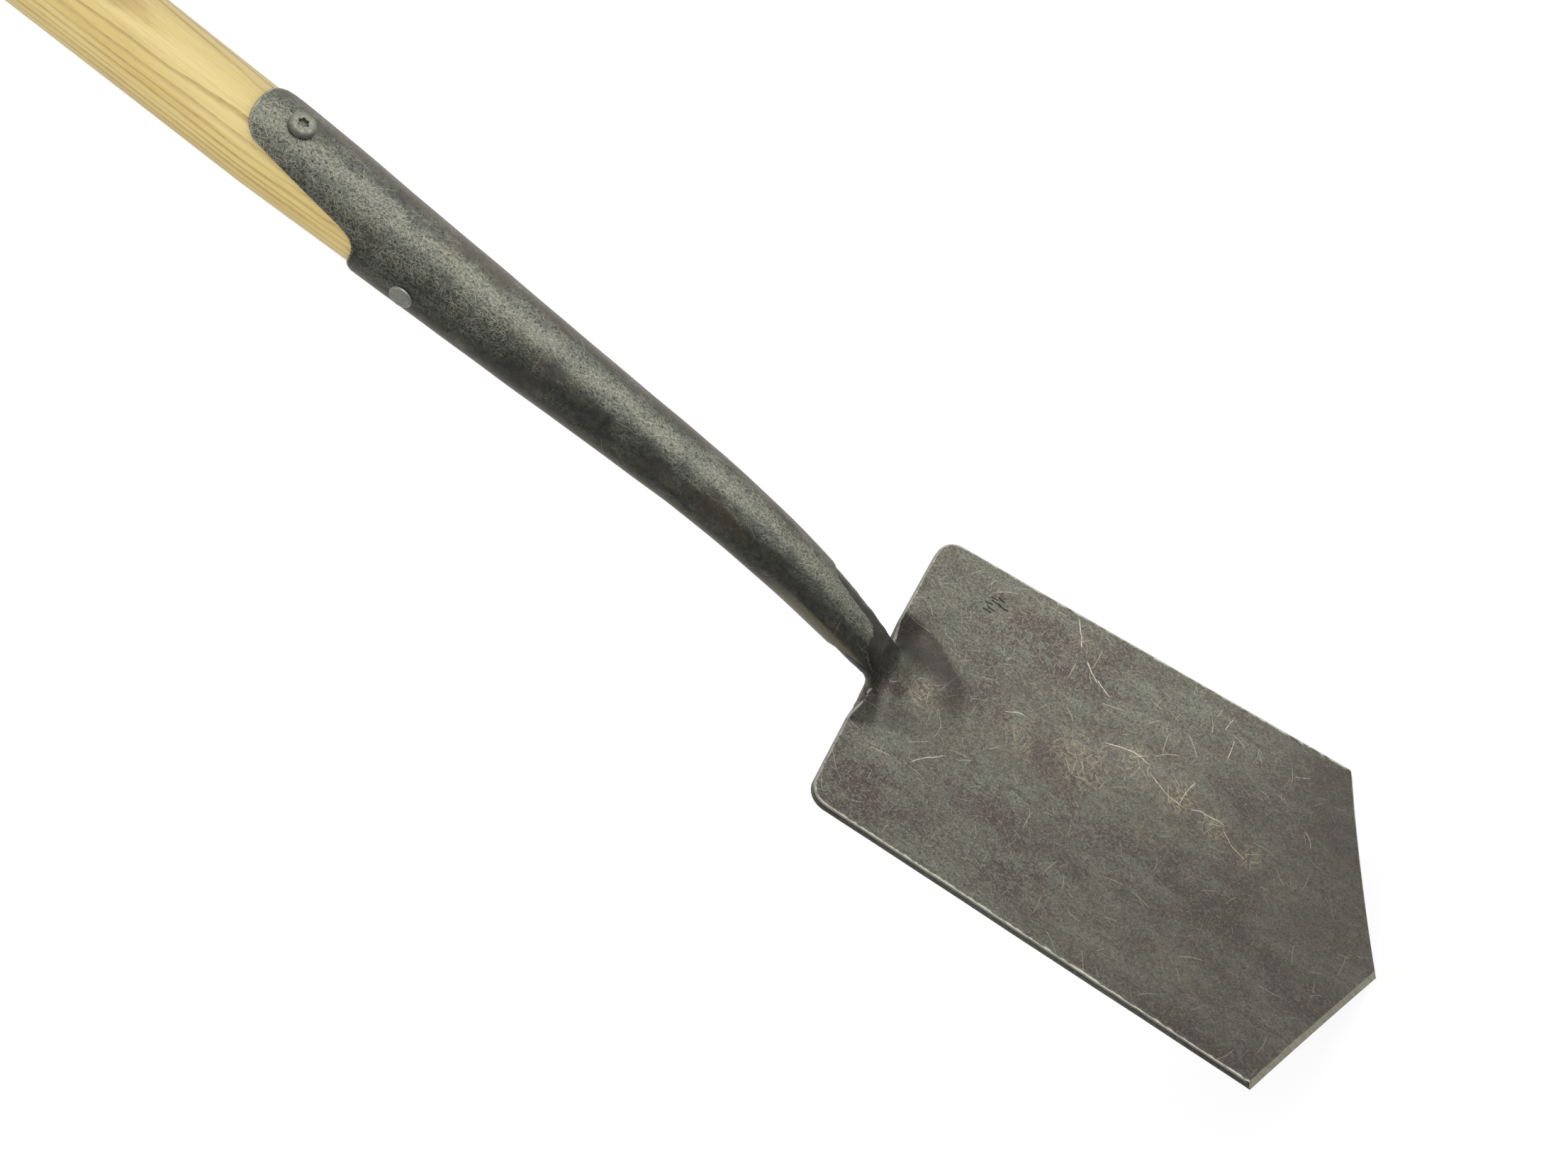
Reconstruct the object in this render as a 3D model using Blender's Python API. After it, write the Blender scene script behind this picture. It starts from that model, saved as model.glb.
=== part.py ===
"""Garden spade: pointed steel blade, forged socket with a front strap, ash shaft and ash T-grip.

Frame: +Z up the shaft, -Y is the hollow front of the blade, X runs across the blade. The spade
stands on its point at z = 0, and the origin is under the middle of its bounding box.
"""
import math

import bmesh
import bpy
from mathutils import Vector

MM = 0.001
GAP = 0.3 * MM                        # clearance between neighbouring pieces

# Blade, measured along its own length w from the point, across x, and through its thickness n
BLADE_LENGTH = 243.5 * MM
POINT_LENGTH = 39.0 * MM
SHOULDER_WIDTH = 156.0 * MM
TOP_WIDTH = 141.0 * MM
BLADE_THICKNESS = 4.6 * MM
TOP_CORNER_RADIUS = 8.5 * MM
BLADE_TILT = math.radians(11.2)       # the point leans forward of the shaft
BLADE_DISH = 6.3 * MM                 # hollow across the width
POINT_FORWARD = 29.6 * MM             # point ahead of the shaft axis
EDGE_BREAK = 0.5 * MM
GRIND_WIDTH = 3.0 * MM                # ground bevel along the two point edges
EDGE_LAND = 0.6 * MM

# Pressed hollow where the neck runs into the blade
HOLLOW_FLOOR = 204.0 * MM             # w where the hollow starts on the centre line
HOLLOW_WIDENING = 0.0425 / MM         # its edge follows w = floor + widening * x * x
HOLLOW_SLOPE = 0.19
HOLLOW_SOFTNESS = 3.0 * MM
TOP_DIP_FRONT = 2.6 * MM              # the top edge sinks a little beside the neck
TOP_DIP_BACK = 1.2 * MM
TOP_DIP_INNER = 14.0 * MM
TOP_DIP_OUTER = 30.0 * MM

# Socket and neck
SHEET = 1.8 * MM
MOUTH_Z = 495.2 * MM
STRAP_TOP_Z = 552.0 * MM
STRAP_END_DEPTH = 14.0 * MM           # height of the strap's rounded end
STRAP_END_FULLNESS = 2.5              # 2 is an ellipse, more is blunter
FILLET_HEIGHT = 12.3 * MM             # where the strap's edge curves out into the mouth
CAVITY_FLOOR_Z = 350.0 * MM
BEND_START_Z = 355.0 * MM             # below this the neck curves backwards
BEND_RADIUS = 354.0 * MM
NECK_END_Z = 242.0 * MM
NECK_END_RADIUS = 10.4 * MM
BACK_SLOT_WIDTH = 2.4 * MM
BACK_SLOT_END_Z = 360.0 * MM

# Weld between the neck's end and the blade
WELD_HEIGHT = 32.0 * MM
WELD_RAMP = 15.5 * MM                 # its front slopes back this far to meet the hollow
WELD_BACK_SWELL = 4.0 * MM
WELD_BACK_SLOPE = 0.3
WELD_FLARE = 2.5 * MM
WELD_SPREAD = 7.0 * MM                # height in which swell and flare build up
WELD_PINCH_START = 9.0 * MM           # from here down the sides draw in to a rounded foot
WELD_PINCH_END = 35.0 * MM

# Shaft
TAPER_TOP_Z = 543.0 * MM
SHAFT_RADIUS = 18.0 * MM
SHAFT_BELLY_RADIUS = 18.7 * MM
SHAFT_BELLY_Z = 790.0 * MM
SHAFT_TOP_RADIUS = 16.75 * MM
SOCKET_TAPER = 0.031                  # radius lost per length inside the socket
SHAFT_FOOT_Z = 352.0 * MM
SHOULDER_Z = 1058.0 * MM
TENON_RADIUS = 11.0 * MM
TENON_TOP_Z = 1085.0 * MM

# T-grip
GRIP_TOP_Z = 1100.0 * MM
GRIP_HALF_LENGTH = 66.0 * MM
GRIP_CROWN = 8.2 * MM                 # the top falls this much from middle to ends
GRIP_FLARE_BOTTOM = 48.5 * MM         # these three heights are measured down from the crown
GRIP_WAIST_BOTTOM = 42.4 * MM
GRIP_BOSS_BOTTOM = 46.6 * MM
GRIP_BOSS_X = 17.0 * MM
GRIP_BOSS_EDGE_X = 32.0 * MM          # the boss has run out into the waist here
GRIP_WAIST_X = 35.0 * MM
GRIP_FLARE_X = 80.0 * MM              # the underside's fall would level out here, past the end
GRIP_END_DEPTH = 17.5 * MM            # half depths, front to back
GRIP_MIDDLE_DEPTH = 21.0 * MM
GRIP_MIDDLE_X = 8.0 * MM
GRIP_SLIM_X = 45.0 * MM
GRIP_END_ROUNDING = 4.5 * MM
GRIP_SQUARENESS = 2.3                 # section exponent: 2 is an ellipse, more is squarer
BOSS_SQUARENESS = 4.0

# Fixings
SCREW_Z = 534.7 * MM
SCREW_HEAD_RADIUS = 5.1 * MM
SCREW_HEAD_HEIGHT = 2.9 * MM
SCREW_CORE_RADIUS = 1.7 * MM
SCREW_THREAD_RADIUS = 2.5 * MM
SCREW_LENGTH = 24.0 * MM
SCREW_PITCH = 2.0 * MM
TORX_RADIUS = 2.25 * MM
TORX_DEPTH = 1.8 * MM
TORX_LOBE = 0.135                     # share of the recess radius that the lobes swing through
RIVET_Z = 472.0 * MM
RIVET_RADIUS = 3.0 * MM
RIVET_HEAD_RADIUS = 4.8 * MM
RIVET_HEAD_HEIGHT = 0.9 * MM
DOWEL_RADIUS = 3.0 * MM
DOWEL_Z = 1071.0 * MM
DOWEL_FRONT_Y = -14.0 * MM
DOWEL_RECESS = 0.6 * MM

TURNED_STEPS = 40


def clear_scene():
    for old in list(bpy.data.objects):
        bpy.data.objects.remove(old, do_unlink=True)


def principled(name, colour, roughness, metallic):
    material = bpy.data.materials.new(name)
    material.use_nodes = True
    shader = material.node_tree.nodes["Principled BSDF"]
    shader.inputs["Base Color"].default_value = (*colour, 1.0)
    shader.inputs["Roughness"].default_value = roughness
    shader.inputs["Metallic"].default_value = metallic
    return material


def smoothstep(value, low, high):
    """0 below low, 1 above high, smooth between; also works with low above high."""
    t = min(1.0, max(0.0, (value - low) / (high - low)))
    return t * t * (3.0 - 2.0 * t)


def blend(a, b, t):
    return a + (b - a) * t


def add_object(name, bm, material=None):
    """Wrap a bmesh as an object with outward normals and smooth shading on its round faces."""
    smooth_angle = 30.0
    bmesh.ops.recalc_face_normals(bm, faces=bm.faces)
    mesh = bpy.data.meshes.new(name)
    bm.to_mesh(mesh)
    bm.free()
    mesh.shade_smooth()
    mesh.set_sharp_from_angle(angle=math.radians(smooth_angle))
    obj = bpy.data.objects.new(name, mesh)
    bpy.context.scene.collection.objects.link(obj)
    if material is not None:
        mesh.materials.append(material)
    return obj


def cut(target, cutter):
    """Boolean difference; the cutter stays as a hidden wire object."""
    cutter.hide_render = True
    cutter.display_type = "WIRE"
    modifier = target.modifiers.new("cut " + cutter.name, "BOOLEAN")
    modifier.operation = "DIFFERENCE"
    modifier.solver = "EXACT"
    modifier.object = cutter


def skin_rings(bm, rings, closed=True):
    """Quads between successive vertex rings of equal length."""
    for lower, upper in zip(rings, rings[1:]):
        count = len(lower)
        last = count if closed else count - 1
        for i in range(last):
            j = (i + 1) % count
            quad = (lower[i], lower[j], upper[j], upper[i])
            corners = list(dict.fromkeys(quad))
            if len(corners) > 2:
                bm.faces.new(corners)


def turned(name, profile, material=None, axis="Z", steps=TURNED_STEPS, centre=(0, 0, 0)):
    """Solid of revolution. profile is (radius, height) points from one axis end to the other."""
    bm = bmesh.new()
    rings = []
    for radius, height in profile:
        ring = []
        count = 1 if radius == 0 else steps
        for k in range(count):
            angle = 2 * math.pi * k / steps
            a = radius * math.cos(angle)
            b = radius * math.sin(angle)
            local = {"Z": (a, b, height), "X": (height, a, b), "Y": (b, height, a)}[axis]
            ring.append(bm.verts.new(Vector(centre) + Vector(local)))
        rings.append(ring * steps if count == 1 else ring)
    skin_rings(bm, rings)
    return add_object(name, bm, material)


# ---------------------------------------------------------------- blade

def blade_point(x, w, n):
    """World place of blade coordinates: x across, w up from the point, n back from the front face."""
    y = -POINT_FORWARD + w * math.sin(BLADE_TILT) + n * math.cos(BLADE_TILT)
    z = w * math.cos(BLADE_TILT) - n * math.sin(BLADE_TILT)
    return Vector((x, y, z))


def blade_sag(x, w):
    """How far the sheet lies behind the plane of the blade's side edges."""
    dish = BLADE_DISH * (1.0 - (2.0 * x / SHOULDER_WIDTH) ** 2)
    rise = w - HOLLOW_FLOOR - HOLLOW_WIDENING * x * x
    soft = 0.5 * (rise + math.hypot(rise, HOLLOW_SOFTNESS))
    return dish + HOLLOW_SLOPE * soft


def blade_outline(inset, point_inset, round_rows, body_rows, point_rows):
    """(half width, w) from the point to the top edge, the sides drawn in by inset."""
    slope = (SHOULDER_WIDTH / 2) / POINT_LENGTH
    edge_length = math.hypot(POINT_LENGTH, SHOULDER_WIDTH / 2)
    tip = point_inset * edge_length / (SHOULDER_WIDTH / 2)
    shoulder = (SHOULDER_WIDTH / 2 - inset) / slope + tip
    radius = TOP_CORNER_RADIUS - inset
    top = BLADE_LENGTH - inset
    corner = top - radius

    def side(w):
        t = (w - POINT_LENGTH) / (BLADE_LENGTH - POINT_LENGTH)
        return blend(SHOULDER_WIDTH, TOP_WIDTH, t) / 2 - inset

    rows = [(0.0, tip)]
    for k in range(1, point_rows):
        w = blend(tip, shoulder, k / point_rows)
        rows.append(((w - tip) * slope, w))
    for k in range(body_rows + 1):
        w = blend(shoulder, corner, k / body_rows)
        rows.append((side(w), w))
    for k in range(1, round_rows + 1):
        angle = math.pi / 2 * k / round_rows
        w = corner + radius * math.sin(angle)
        rows.append((side(w) - radius * (1.0 - math.cos(angle)), w))
    return rows


def sunk(x, w, dip):
    """The sheet's length coordinate after the top edge sinks beside the neck."""
    beside_neck = smoothstep(abs(x), TOP_DIP_OUTER, TOP_DIP_INNER)
    return w - dip * beside_neck * smoothstep(w, HOLLOW_FLOOR, BLADE_LENGTH)


def spread(half_width, k, columns):
    """x of column k, the columns closer together at the middle."""
    crowding = 1.25
    return math.copysign(half_width * (abs(k) / columns) ** crowding, k)


def face_vertex(bm, x, w, n, dip):
    low = sunk(x, w, dip)
    return bm.verts.new(blade_point(x, low, blade_sag(x, low) + n))


def blade_face(bm, outline, n, dip, columns):
    """Vertex rows of one face of the sheet."""
    rows = []
    for half_width, w in outline:
        row = []
        if half_width == 0.0:
            tip = bm.verts.new(blade_point(0.0, w, blade_sag(0.0, w) + n))
            rows.append([tip] * (2 * columns + 1))
            continue
        for k in range(-columns, columns + 1):
            row.append(face_vertex(bm, spread(half_width, k, columns), w, n, dip))
        rows.append(row)
    return rows


def border(rows):
    """The closed loop of edge vertices round a face, starting and ending at the point."""
    left = [row[0] for row in rows]
    right = [row[-1] for row in rows[1:-1]]
    return left + rows[-1][1:] + list(reversed(right))


def blade_bmesh(grow):
    """The blade sheet, every face moved out by grow."""
    columns = 15
    counts = {"round_rows": 5, "body_rows": 20, "point_rows": 5}
    bm = bmesh.new()
    face_outline = blade_outline(EDGE_BREAK - grow, GRIND_WIDTH - grow, **counts)
    rim_outline = blade_outline(-grow, -grow, **counts)
    back_n = BLADE_THICKNESS + grow
    front = blade_face(bm, face_outline, -grow, TOP_DIP_FRONT, columns)
    back = blade_face(bm, rim_outline, back_n, TOP_DIP_BACK, columns)
    skin_rings(bm, front, closed=False)
    skin_rings(bm, back, closed=False)

    rim_dip = blend(TOP_DIP_FRONT, TOP_DIP_BACK, EDGE_BREAK / BLADE_THICKNESS)
    rim = []
    for row_index, (half_width, w) in enumerate(rim_outline):
        at_point = row_index <= counts["point_rows"]
        at_top = row_index == len(rim_outline) - 1
        n = back_n - EDGE_LAND if at_point else EDGE_BREAK
        steps = range(-columns, columns + 1) if at_top else (-columns, columns)
        row = [face_vertex(bm, spread(half_width, k, columns), w, n, rim_dip) for k in steps]
        if half_width == 0.0:
            bm.verts.remove(row.pop())
        rim.append(row)
    skin_rings(bm, [border(front), border(rim), border(back)])
    return bm


def make_blade(steel):
    return add_object("blade", blade_bmesh(0.0), steel)


# ---------------------------------------------------------------- socket, neck and weld

def neck_centre_y(z):
    """The neck follows an arc backwards below the start of its bend."""
    drop = max(0.0, BEND_START_Z - z)
    return BEND_RADIUS - math.sqrt(BEND_RADIUS ** 2 - drop ** 2)


def seat_radius(z):
    """Radius of the wood at height z, up to the top of the strap."""
    return SHAFT_RADIUS - SOCKET_TAPER * max(0.0, TAPER_TOP_Z - z)


def socket_radius(z):
    cone = seat_radius(max(z, CAVITY_FLOOR_Z)) + GAP + SHEET
    neck_length = CAVITY_FLOOR_Z - NECK_END_Z
    t = max(0.0, (CAVITY_FLOOR_Z - z) / neck_length)
    return blend(cone, NECK_END_RADIUS, 0.5 * t + 0.5 * t ** 3)


def strap_top(angle):
    """Height of the socket's upper edge at an angle from the front: strap, flare, then mouth."""
    degrees = abs(math.degrees(angle))
    oval_reach = 47.0
    round_end = 44.0
    fillet_start = 61.0
    fillet_reach = 6.0

    def rounded(at):
        height = (1.0 - (at / oval_reach) ** STRAP_END_FULLNESS) ** (1.0 / STRAP_END_FULLNESS)
        return STRAP_TOP_Z - STRAP_END_DEPTH * (1.0 - height)

    if degrees <= round_end:
        return rounded(degrees)
    if degrees <= fillet_start:
        t = (degrees - round_end) / (fillet_start - round_end)
        return blend(rounded(round_end), MOUTH_Z + FILLET_HEIGHT, t)
    return MOUTH_Z + FILLET_HEIGHT * math.exp(-(degrees - fillet_start) / fillet_reach)


def socket_angles():
    """Column angles round the socket, closer together under the edges of the strap."""
    half = [0, 8, 15, 22, 28, 33, 37, 40, 42, 44, 47, 50, 53, 56, 58.5, 61, 63, 65.5, 69, 74, 81, 90]
    half += [105, 120, 135, 150, 165]
    right = [math.radians(a) for a in half]
    left = [-a for a in reversed(right[1:])]
    return right + [math.pi] + left


def socket_ring(bm, heights, angles, radius_of):
    ring = []
    for z, angle in zip(heights, angles):
        radius = radius_of(z)
        y = neck_centre_y(z) - radius * math.cos(angle)
        ring.append(bm.verts.new((radius * math.sin(angle), y, z)))
    return ring


def make_socket(steel):
    angles = socket_angles()
    count = len(angles)
    neck_rows = 12
    cone_top = MOUTH_Z - 4.0 * MM

    def inner_radius(z):
        return seat_radius(z) + GAP

    bm = bmesh.new()
    levels = [blend(NECK_END_Z, CAVITY_FLOOR_Z, k / neck_rows) for k in range(neck_rows + 1)]
    levels += [blend(CAVITY_FLOOR_Z, cone_top, k / 3) for k in range(1, 4)]
    outer = [socket_ring(bm, [z] * count, angles, socket_radius) for z in levels]
    for k in range(1, 7):
        heights = [blend(cone_top, strap_top(a), k / 6) for a in angles]
        outer.append(socket_ring(bm, heights, angles, socket_radius))
    inner = []
    for k in range(6, 0, -1):
        heights = [blend(cone_top, strap_top(a), k / 6) for a in angles]
        inner.append(socket_ring(bm, heights, angles, inner_radius))
    for z in (cone_top, CAVITY_FLOOR_Z):
        inner.append(socket_ring(bm, [z] * count, angles, inner_radius))
    skin_rings(bm, outer + inner)
    bm.faces.new(outer[0])
    bm.faces.new(inner[-1])
    socket = add_object("socket", bm, steel)

    slot = bmesh.new()
    bmesh.ops.create_cube(slot, size=1.0)
    slot_length = MOUTH_Z + 10.0 * MM - BACK_SLOT_END_Z
    bmesh.ops.scale(slot, vec=(BACK_SLOT_WIDTH, 14.0 * MM, slot_length), verts=slot.verts)
    middle = (0.0, 16.0 * MM, BACK_SLOT_END_Z + slot_length / 2)
    bmesh.ops.translate(slot, vec=middle, verts=slot.verts)
    cut(socket, add_object("socket_slot_cutter", slot))
    return socket


def weld_section(z):
    """Front y, back y and half width of the weld metal at height z."""
    top_z = NECK_END_Z - GAP
    centre = neck_centre_y(top_z)
    drop = top_z - z
    spreading = smoothstep(drop, 0.0, WELD_SPREAD)
    front = centre - NECK_END_RADIUS + WELD_RAMP * math.sin(math.pi / 2 * drop / WELD_HEIGHT)
    back = centre + NECK_END_RADIUS + WELD_BACK_SWELL * spreading - WELD_BACK_SLOPE * drop
    pinch = NECK_END_RADIUS * smoothstep(drop, WELD_PINCH_START, WELD_PINCH_END)
    return front, back, NECK_END_RADIUS + WELD_FLARE * spreading - pinch


def make_neck_weld(steel):
    """Weld metal that fills the corner between the neck's end and the blade, front and back."""
    rows = 16
    steps = 28
    bm = bmesh.new()
    rings = []
    for k in range(rows + 1):
        z = NECK_END_Z - GAP - WELD_HEIGHT * (k / rows)
        front, back, half_width = weld_section(z)
        ring = []
        for s in range(steps):
            angle = 2 * math.pi * s / steps
            y = (front + back) / 2 - (back - front) / 2 * math.cos(angle)
            ring.append(bm.verts.new((half_width * math.sin(angle), y, z)))
        rings.append(ring)
    skin_rings(bm, rings)
    bm.faces.new(rings[0])
    bm.faces.new(rings[-1])
    weld = add_object("neck_weld", bm, steel)
    cut(weld, add_object("weld_clearance_cutter", blade_bmesh(GAP)))
    return weld


# ---------------------------------------------------------------- shaft and grip

def shaft_radius(z):
    """Socket taper, then a slight belly, then the slimmer neck below the grip."""
    if z <= TAPER_TOP_Z:
        return seat_radius(z)
    if z <= SHAFT_BELLY_Z:
        return blend(SHAFT_RADIUS, SHAFT_BELLY_RADIUS, smoothstep(z, TAPER_TOP_Z, SHAFT_BELLY_Z))
    return blend(SHAFT_BELLY_RADIUS, SHAFT_TOP_RADIUS, smoothstep(z, SHAFT_BELLY_Z, SHOULDER_Z))


def make_shaft(ash):
    foot_chamfer = 1.5 * MM
    profile = [(0, SHAFT_FOOT_Z), (seat_radius(SHAFT_FOOT_Z) - foot_chamfer, SHAFT_FOOT_Z)]
    heights = [SHAFT_FOOT_Z + foot_chamfer, TAPER_TOP_Z]
    heights += [blend(TAPER_TOP_Z, SHOULDER_Z, k / 9) for k in range(1, 10)]
    profile += [(shaft_radius(z), z) for z in heights]
    profile += [(TENON_RADIUS, SHOULDER_Z)]
    profile += [(TENON_RADIUS, TENON_TOP_Z - foot_chamfer)]
    profile += [(TENON_RADIUS - foot_chamfer, TENON_TOP_Z), (0, TENON_TOP_Z)]
    return turned("shaft", profile, ash)


def grip_section(x):
    """Top z, bottom z, half depth and squareness of the underside at x along the grip."""
    ax = abs(x)
    top = GRIP_TOP_Z - GRIP_CROWN * (ax / GRIP_HALF_LENGTH) ** 2
    flare = smoothstep(ax, GRIP_WAIST_X, GRIP_FLARE_X)
    boss = smoothstep(ax, GRIP_BOSS_EDGE_X, GRIP_BOSS_X)
    fall = blend(blend(GRIP_WAIST_BOTTOM, GRIP_FLARE_BOTTOM, flare), GRIP_BOSS_BOTTOM, boss)
    depth = blend(GRIP_END_DEPTH, GRIP_MIDDLE_DEPTH, smoothstep(ax, GRIP_SLIM_X, GRIP_MIDDLE_X))
    beyond = max(0.0, GRIP_END_ROUNDING - (GRIP_HALF_LENGTH - ax))
    inset = GRIP_END_ROUNDING - math.sqrt(max(0.0, GRIP_END_ROUNDING ** 2 - beyond ** 2))
    squareness = blend(GRIP_SQUARENESS, BOSS_SQUARENESS, boss)
    return top - inset, GRIP_TOP_Z - fall + inset, depth - inset, squareness


def grip_stations():
    """x places from one end to the other, closer together at the rounded ends and at the boss."""
    half = [0.0, 6.0, 12.0, 17.0, 20.0, 23.0, 26.0, 29.0, 32.0, 36.0, 42.0, 50.0, 57.0, 61.5]
    half = [x * MM for x in half]
    end_arc = math.radians(62.0)
    for k in range(1, 4):
        angle = end_arc * k / 3
        half.append(GRIP_HALF_LENGTH - GRIP_END_ROUNDING * (1.0 - math.sin(angle)))
    return [-x for x in reversed(half[1:])] + half


def make_t_grip(ash):
    steps = 40
    bm = bmesh.new()
    rings = []
    for x in grip_stations():
        top, bottom, depth, squareness = grip_section(x)
        middle = (top + bottom) / 2
        half_height = (top - bottom) / 2
        ring = []
        for s in range(steps):
            angle = 2 * math.pi * s / steps
            c, n = math.cos(angle), math.sin(angle)
            power = 2.0 / (squareness if n < 0 else GRIP_SQUARENESS)
            y = depth * math.copysign(abs(c) ** power, c)
            z = middle + half_height * math.copysign(abs(n) ** power, n)
            ring.append(bm.verts.new((x, y, z)))
        rings.append(ring)
    skin_rings(bm, rings)
    bm.faces.new(rings[0])
    bm.faces.new(rings[-1])
    grip = add_object("t_grip", bm, ash)

    seat = SHAFT_TOP_RADIUS + GAP
    hole = TENON_RADIUS + GAP
    below = GRIP_TOP_Z - GRIP_BOSS_BOTTOM - 10.0 * MM
    mortise = [(0, below), (seat, below), (seat, SHOULDER_Z + GAP), (hole, SHOULDER_Z + GAP)]
    mortise += [(hole, TENON_TOP_Z + GAP), (0, TENON_TOP_Z + GAP)]
    cut(grip, turned("mortise_cutter", mortise))
    return grip


# ---------------------------------------------------------------- fixings

def screw_profile():
    """(radius, y) along the screw from its head to its point; the thread is a row of rings."""
    seat_y = -socket_radius(SCREW_Z) - GAP
    head_y = seat_y - SCREW_HEAD_HEIGHT
    head = SCREW_HEAD_RADIUS
    profile = [(0, head_y), (0.62 * head, head_y), (0.86 * head, head_y + 0.17 * SCREW_HEAD_HEIGHT)]
    profile += [(head, head_y + 0.55 * SCREW_HEAD_HEIGHT), (head, seat_y)]
    plain = 4.0 * MM
    point = 3.5 * MM
    profile += [(SCREW_CORE_RADIUS, seat_y), (SCREW_CORE_RADIUS, seat_y + plain)]
    turns = int((SCREW_LENGTH - plain - point) / SCREW_PITCH)
    for k in range(turns):
        y = seat_y + plain + k * SCREW_PITCH
        profile += [(SCREW_CORE_RADIUS, y + SCREW_PITCH / 4), (SCREW_THREAD_RADIUS, y + SCREW_PITCH / 2)]
        profile += [(SCREW_CORE_RADIUS, y + SCREW_PITCH * 3 / 4)]
    profile += [(SCREW_CORE_RADIUS, seat_y + SCREW_LENGTH - point), (0, seat_y + SCREW_LENGTH)]
    return profile


def screw_hole_profile():
    """(radius, y) of the clearance hole for the screw's thread."""
    seat_y = -socket_radius(SCREW_Z) - GAP
    start = seat_y - SCREW_HEAD_HEIGHT
    end = seat_y + SCREW_LENGTH
    radius = SCREW_THREAD_RADIUS + GAP
    return [(0, start), (radius, start), (radius, end - SCREW_THREAD_RADIUS), (0, end + 2 * GAP)]


def make_strap_screw(steel, socket, shaft):
    """Pan-head wood screw with a six-lobe recess, driven through the strap into the shaft."""
    centre = (0, 0, SCREW_Z)
    screw = turned("strap_screw", screw_profile(), steel, axis="Y", steps=24, centre=centre)

    steps = 36
    head_y = screw_profile()[0][1]
    lobes = bmesh.new()
    rings = []
    for y in (head_y - 1.0 * MM, head_y + TORX_DEPTH):
        ring = []
        for k in range(steps):
            angle = 2 * math.pi * k / steps
            radius = TORX_RADIUS * (1.0 - TORX_LOBE + TORX_LOBE * math.cos(6 * angle))
            ring.append(lobes.verts.new((radius * math.sin(angle), y, SCREW_Z + radius * math.cos(angle))))
        rings.append(ring)
    skin_rings(lobes, rings)
    lobes.faces.new(rings[0])
    lobes.faces.new(rings[-1])
    cut(screw, add_object("torx_cutter", lobes))

    hole = turned("screw_hole_cutter", screw_hole_profile(), axis="Y", steps=24, centre=centre)
    cut(socket, hole)
    cut(shaft, hole)
    return screw


def make_socket_rivet(steel, socket, shaft):
    """Solid rivet across the socket, a low head on each side."""
    seat = socket_radius(RIVET_Z) + GAP
    head = seat + RIVET_HEAD_HEIGHT
    side = [(0, head), (0.72 * RIVET_HEAD_RADIUS, head)]
    side += [(RIVET_HEAD_RADIUS, head - RIVET_HEAD_HEIGHT / 2)]
    side += [(RIVET_HEAD_RADIUS, seat), (RIVET_RADIUS, seat)]
    profile = [(r, -x) for r, x in side] + list(reversed(side))
    centre = (0, 0, RIVET_Z)
    rivet = turned("socket_rivet", profile, steel, axis="X", steps=24, centre=centre)
    hole_radius = RIVET_RADIUS + GAP
    reach = head + RIVET_HEAD_RADIUS
    hole_profile = [(0, -reach), (hole_radius, -reach), (hole_radius, reach), (0, reach)]
    hole = turned("rivet_hole_cutter", hole_profile, axis="X", steps=24, centre=centre)
    cut(socket, hole)
    cut(shaft, hole)
    return rivet


def make_grip_dowel(beech, grip, shaft):
    """Wooden dowel from the back of the grip through the tenon, stopping short of the front."""
    back_y = GRIP_MIDDLE_DEPTH - DOWEL_RECESS
    chamfer = 0.6 * MM
    profile = [(0, DOWEL_FRONT_Y), (DOWEL_RADIUS - chamfer, DOWEL_FRONT_Y)]
    profile += [(DOWEL_RADIUS, DOWEL_FRONT_Y + chamfer), (DOWEL_RADIUS, back_y), (0, back_y)]
    centre = (0, 0, DOWEL_Z)
    dowel = turned("grip_dowel", profile, beech, axis="Y", steps=24, centre=centre)
    radius = DOWEL_RADIUS + GAP
    end = DOWEL_FRONT_Y - GAP
    far = GRIP_MIDDLE_DEPTH + 5.0 * MM
    hole = turned("dowel_hole_cutter", [(0, end), (radius, end), (radius, far), (0, far)],
                  axis="Y", steps=24, centre=centre)
    cut(grip, hole)
    cut(shaft, hole)
    return dowel


# ---------------------------------------------------------------- assembly

def stand_on_origin(pieces, cutters):
    """Parent everything to one empty, and set the bounding box's bottom middle on the origin."""
    bpy.context.view_layer.update()
    graph = bpy.context.evaluated_depsgraph_get()
    corners = []
    for piece in pieces:
        mesh = piece.evaluated_get(graph).to_mesh()
        corners += [piece.matrix_world @ vertex.co for vertex in mesh.vertices]
    low = [min(c[i] for c in corners) for i in range(3)]
    high = [max(c[i] for c in corners) for i in range(3)]
    spade = bpy.data.objects.new("spade", None)
    bpy.context.scene.collection.objects.link(spade)
    for obj in pieces + cutters:
        obj.parent = spade
    spade.location = (-(low[0] + high[0]) / 2, -(low[1] + high[1]) / 2, -low[2])


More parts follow.
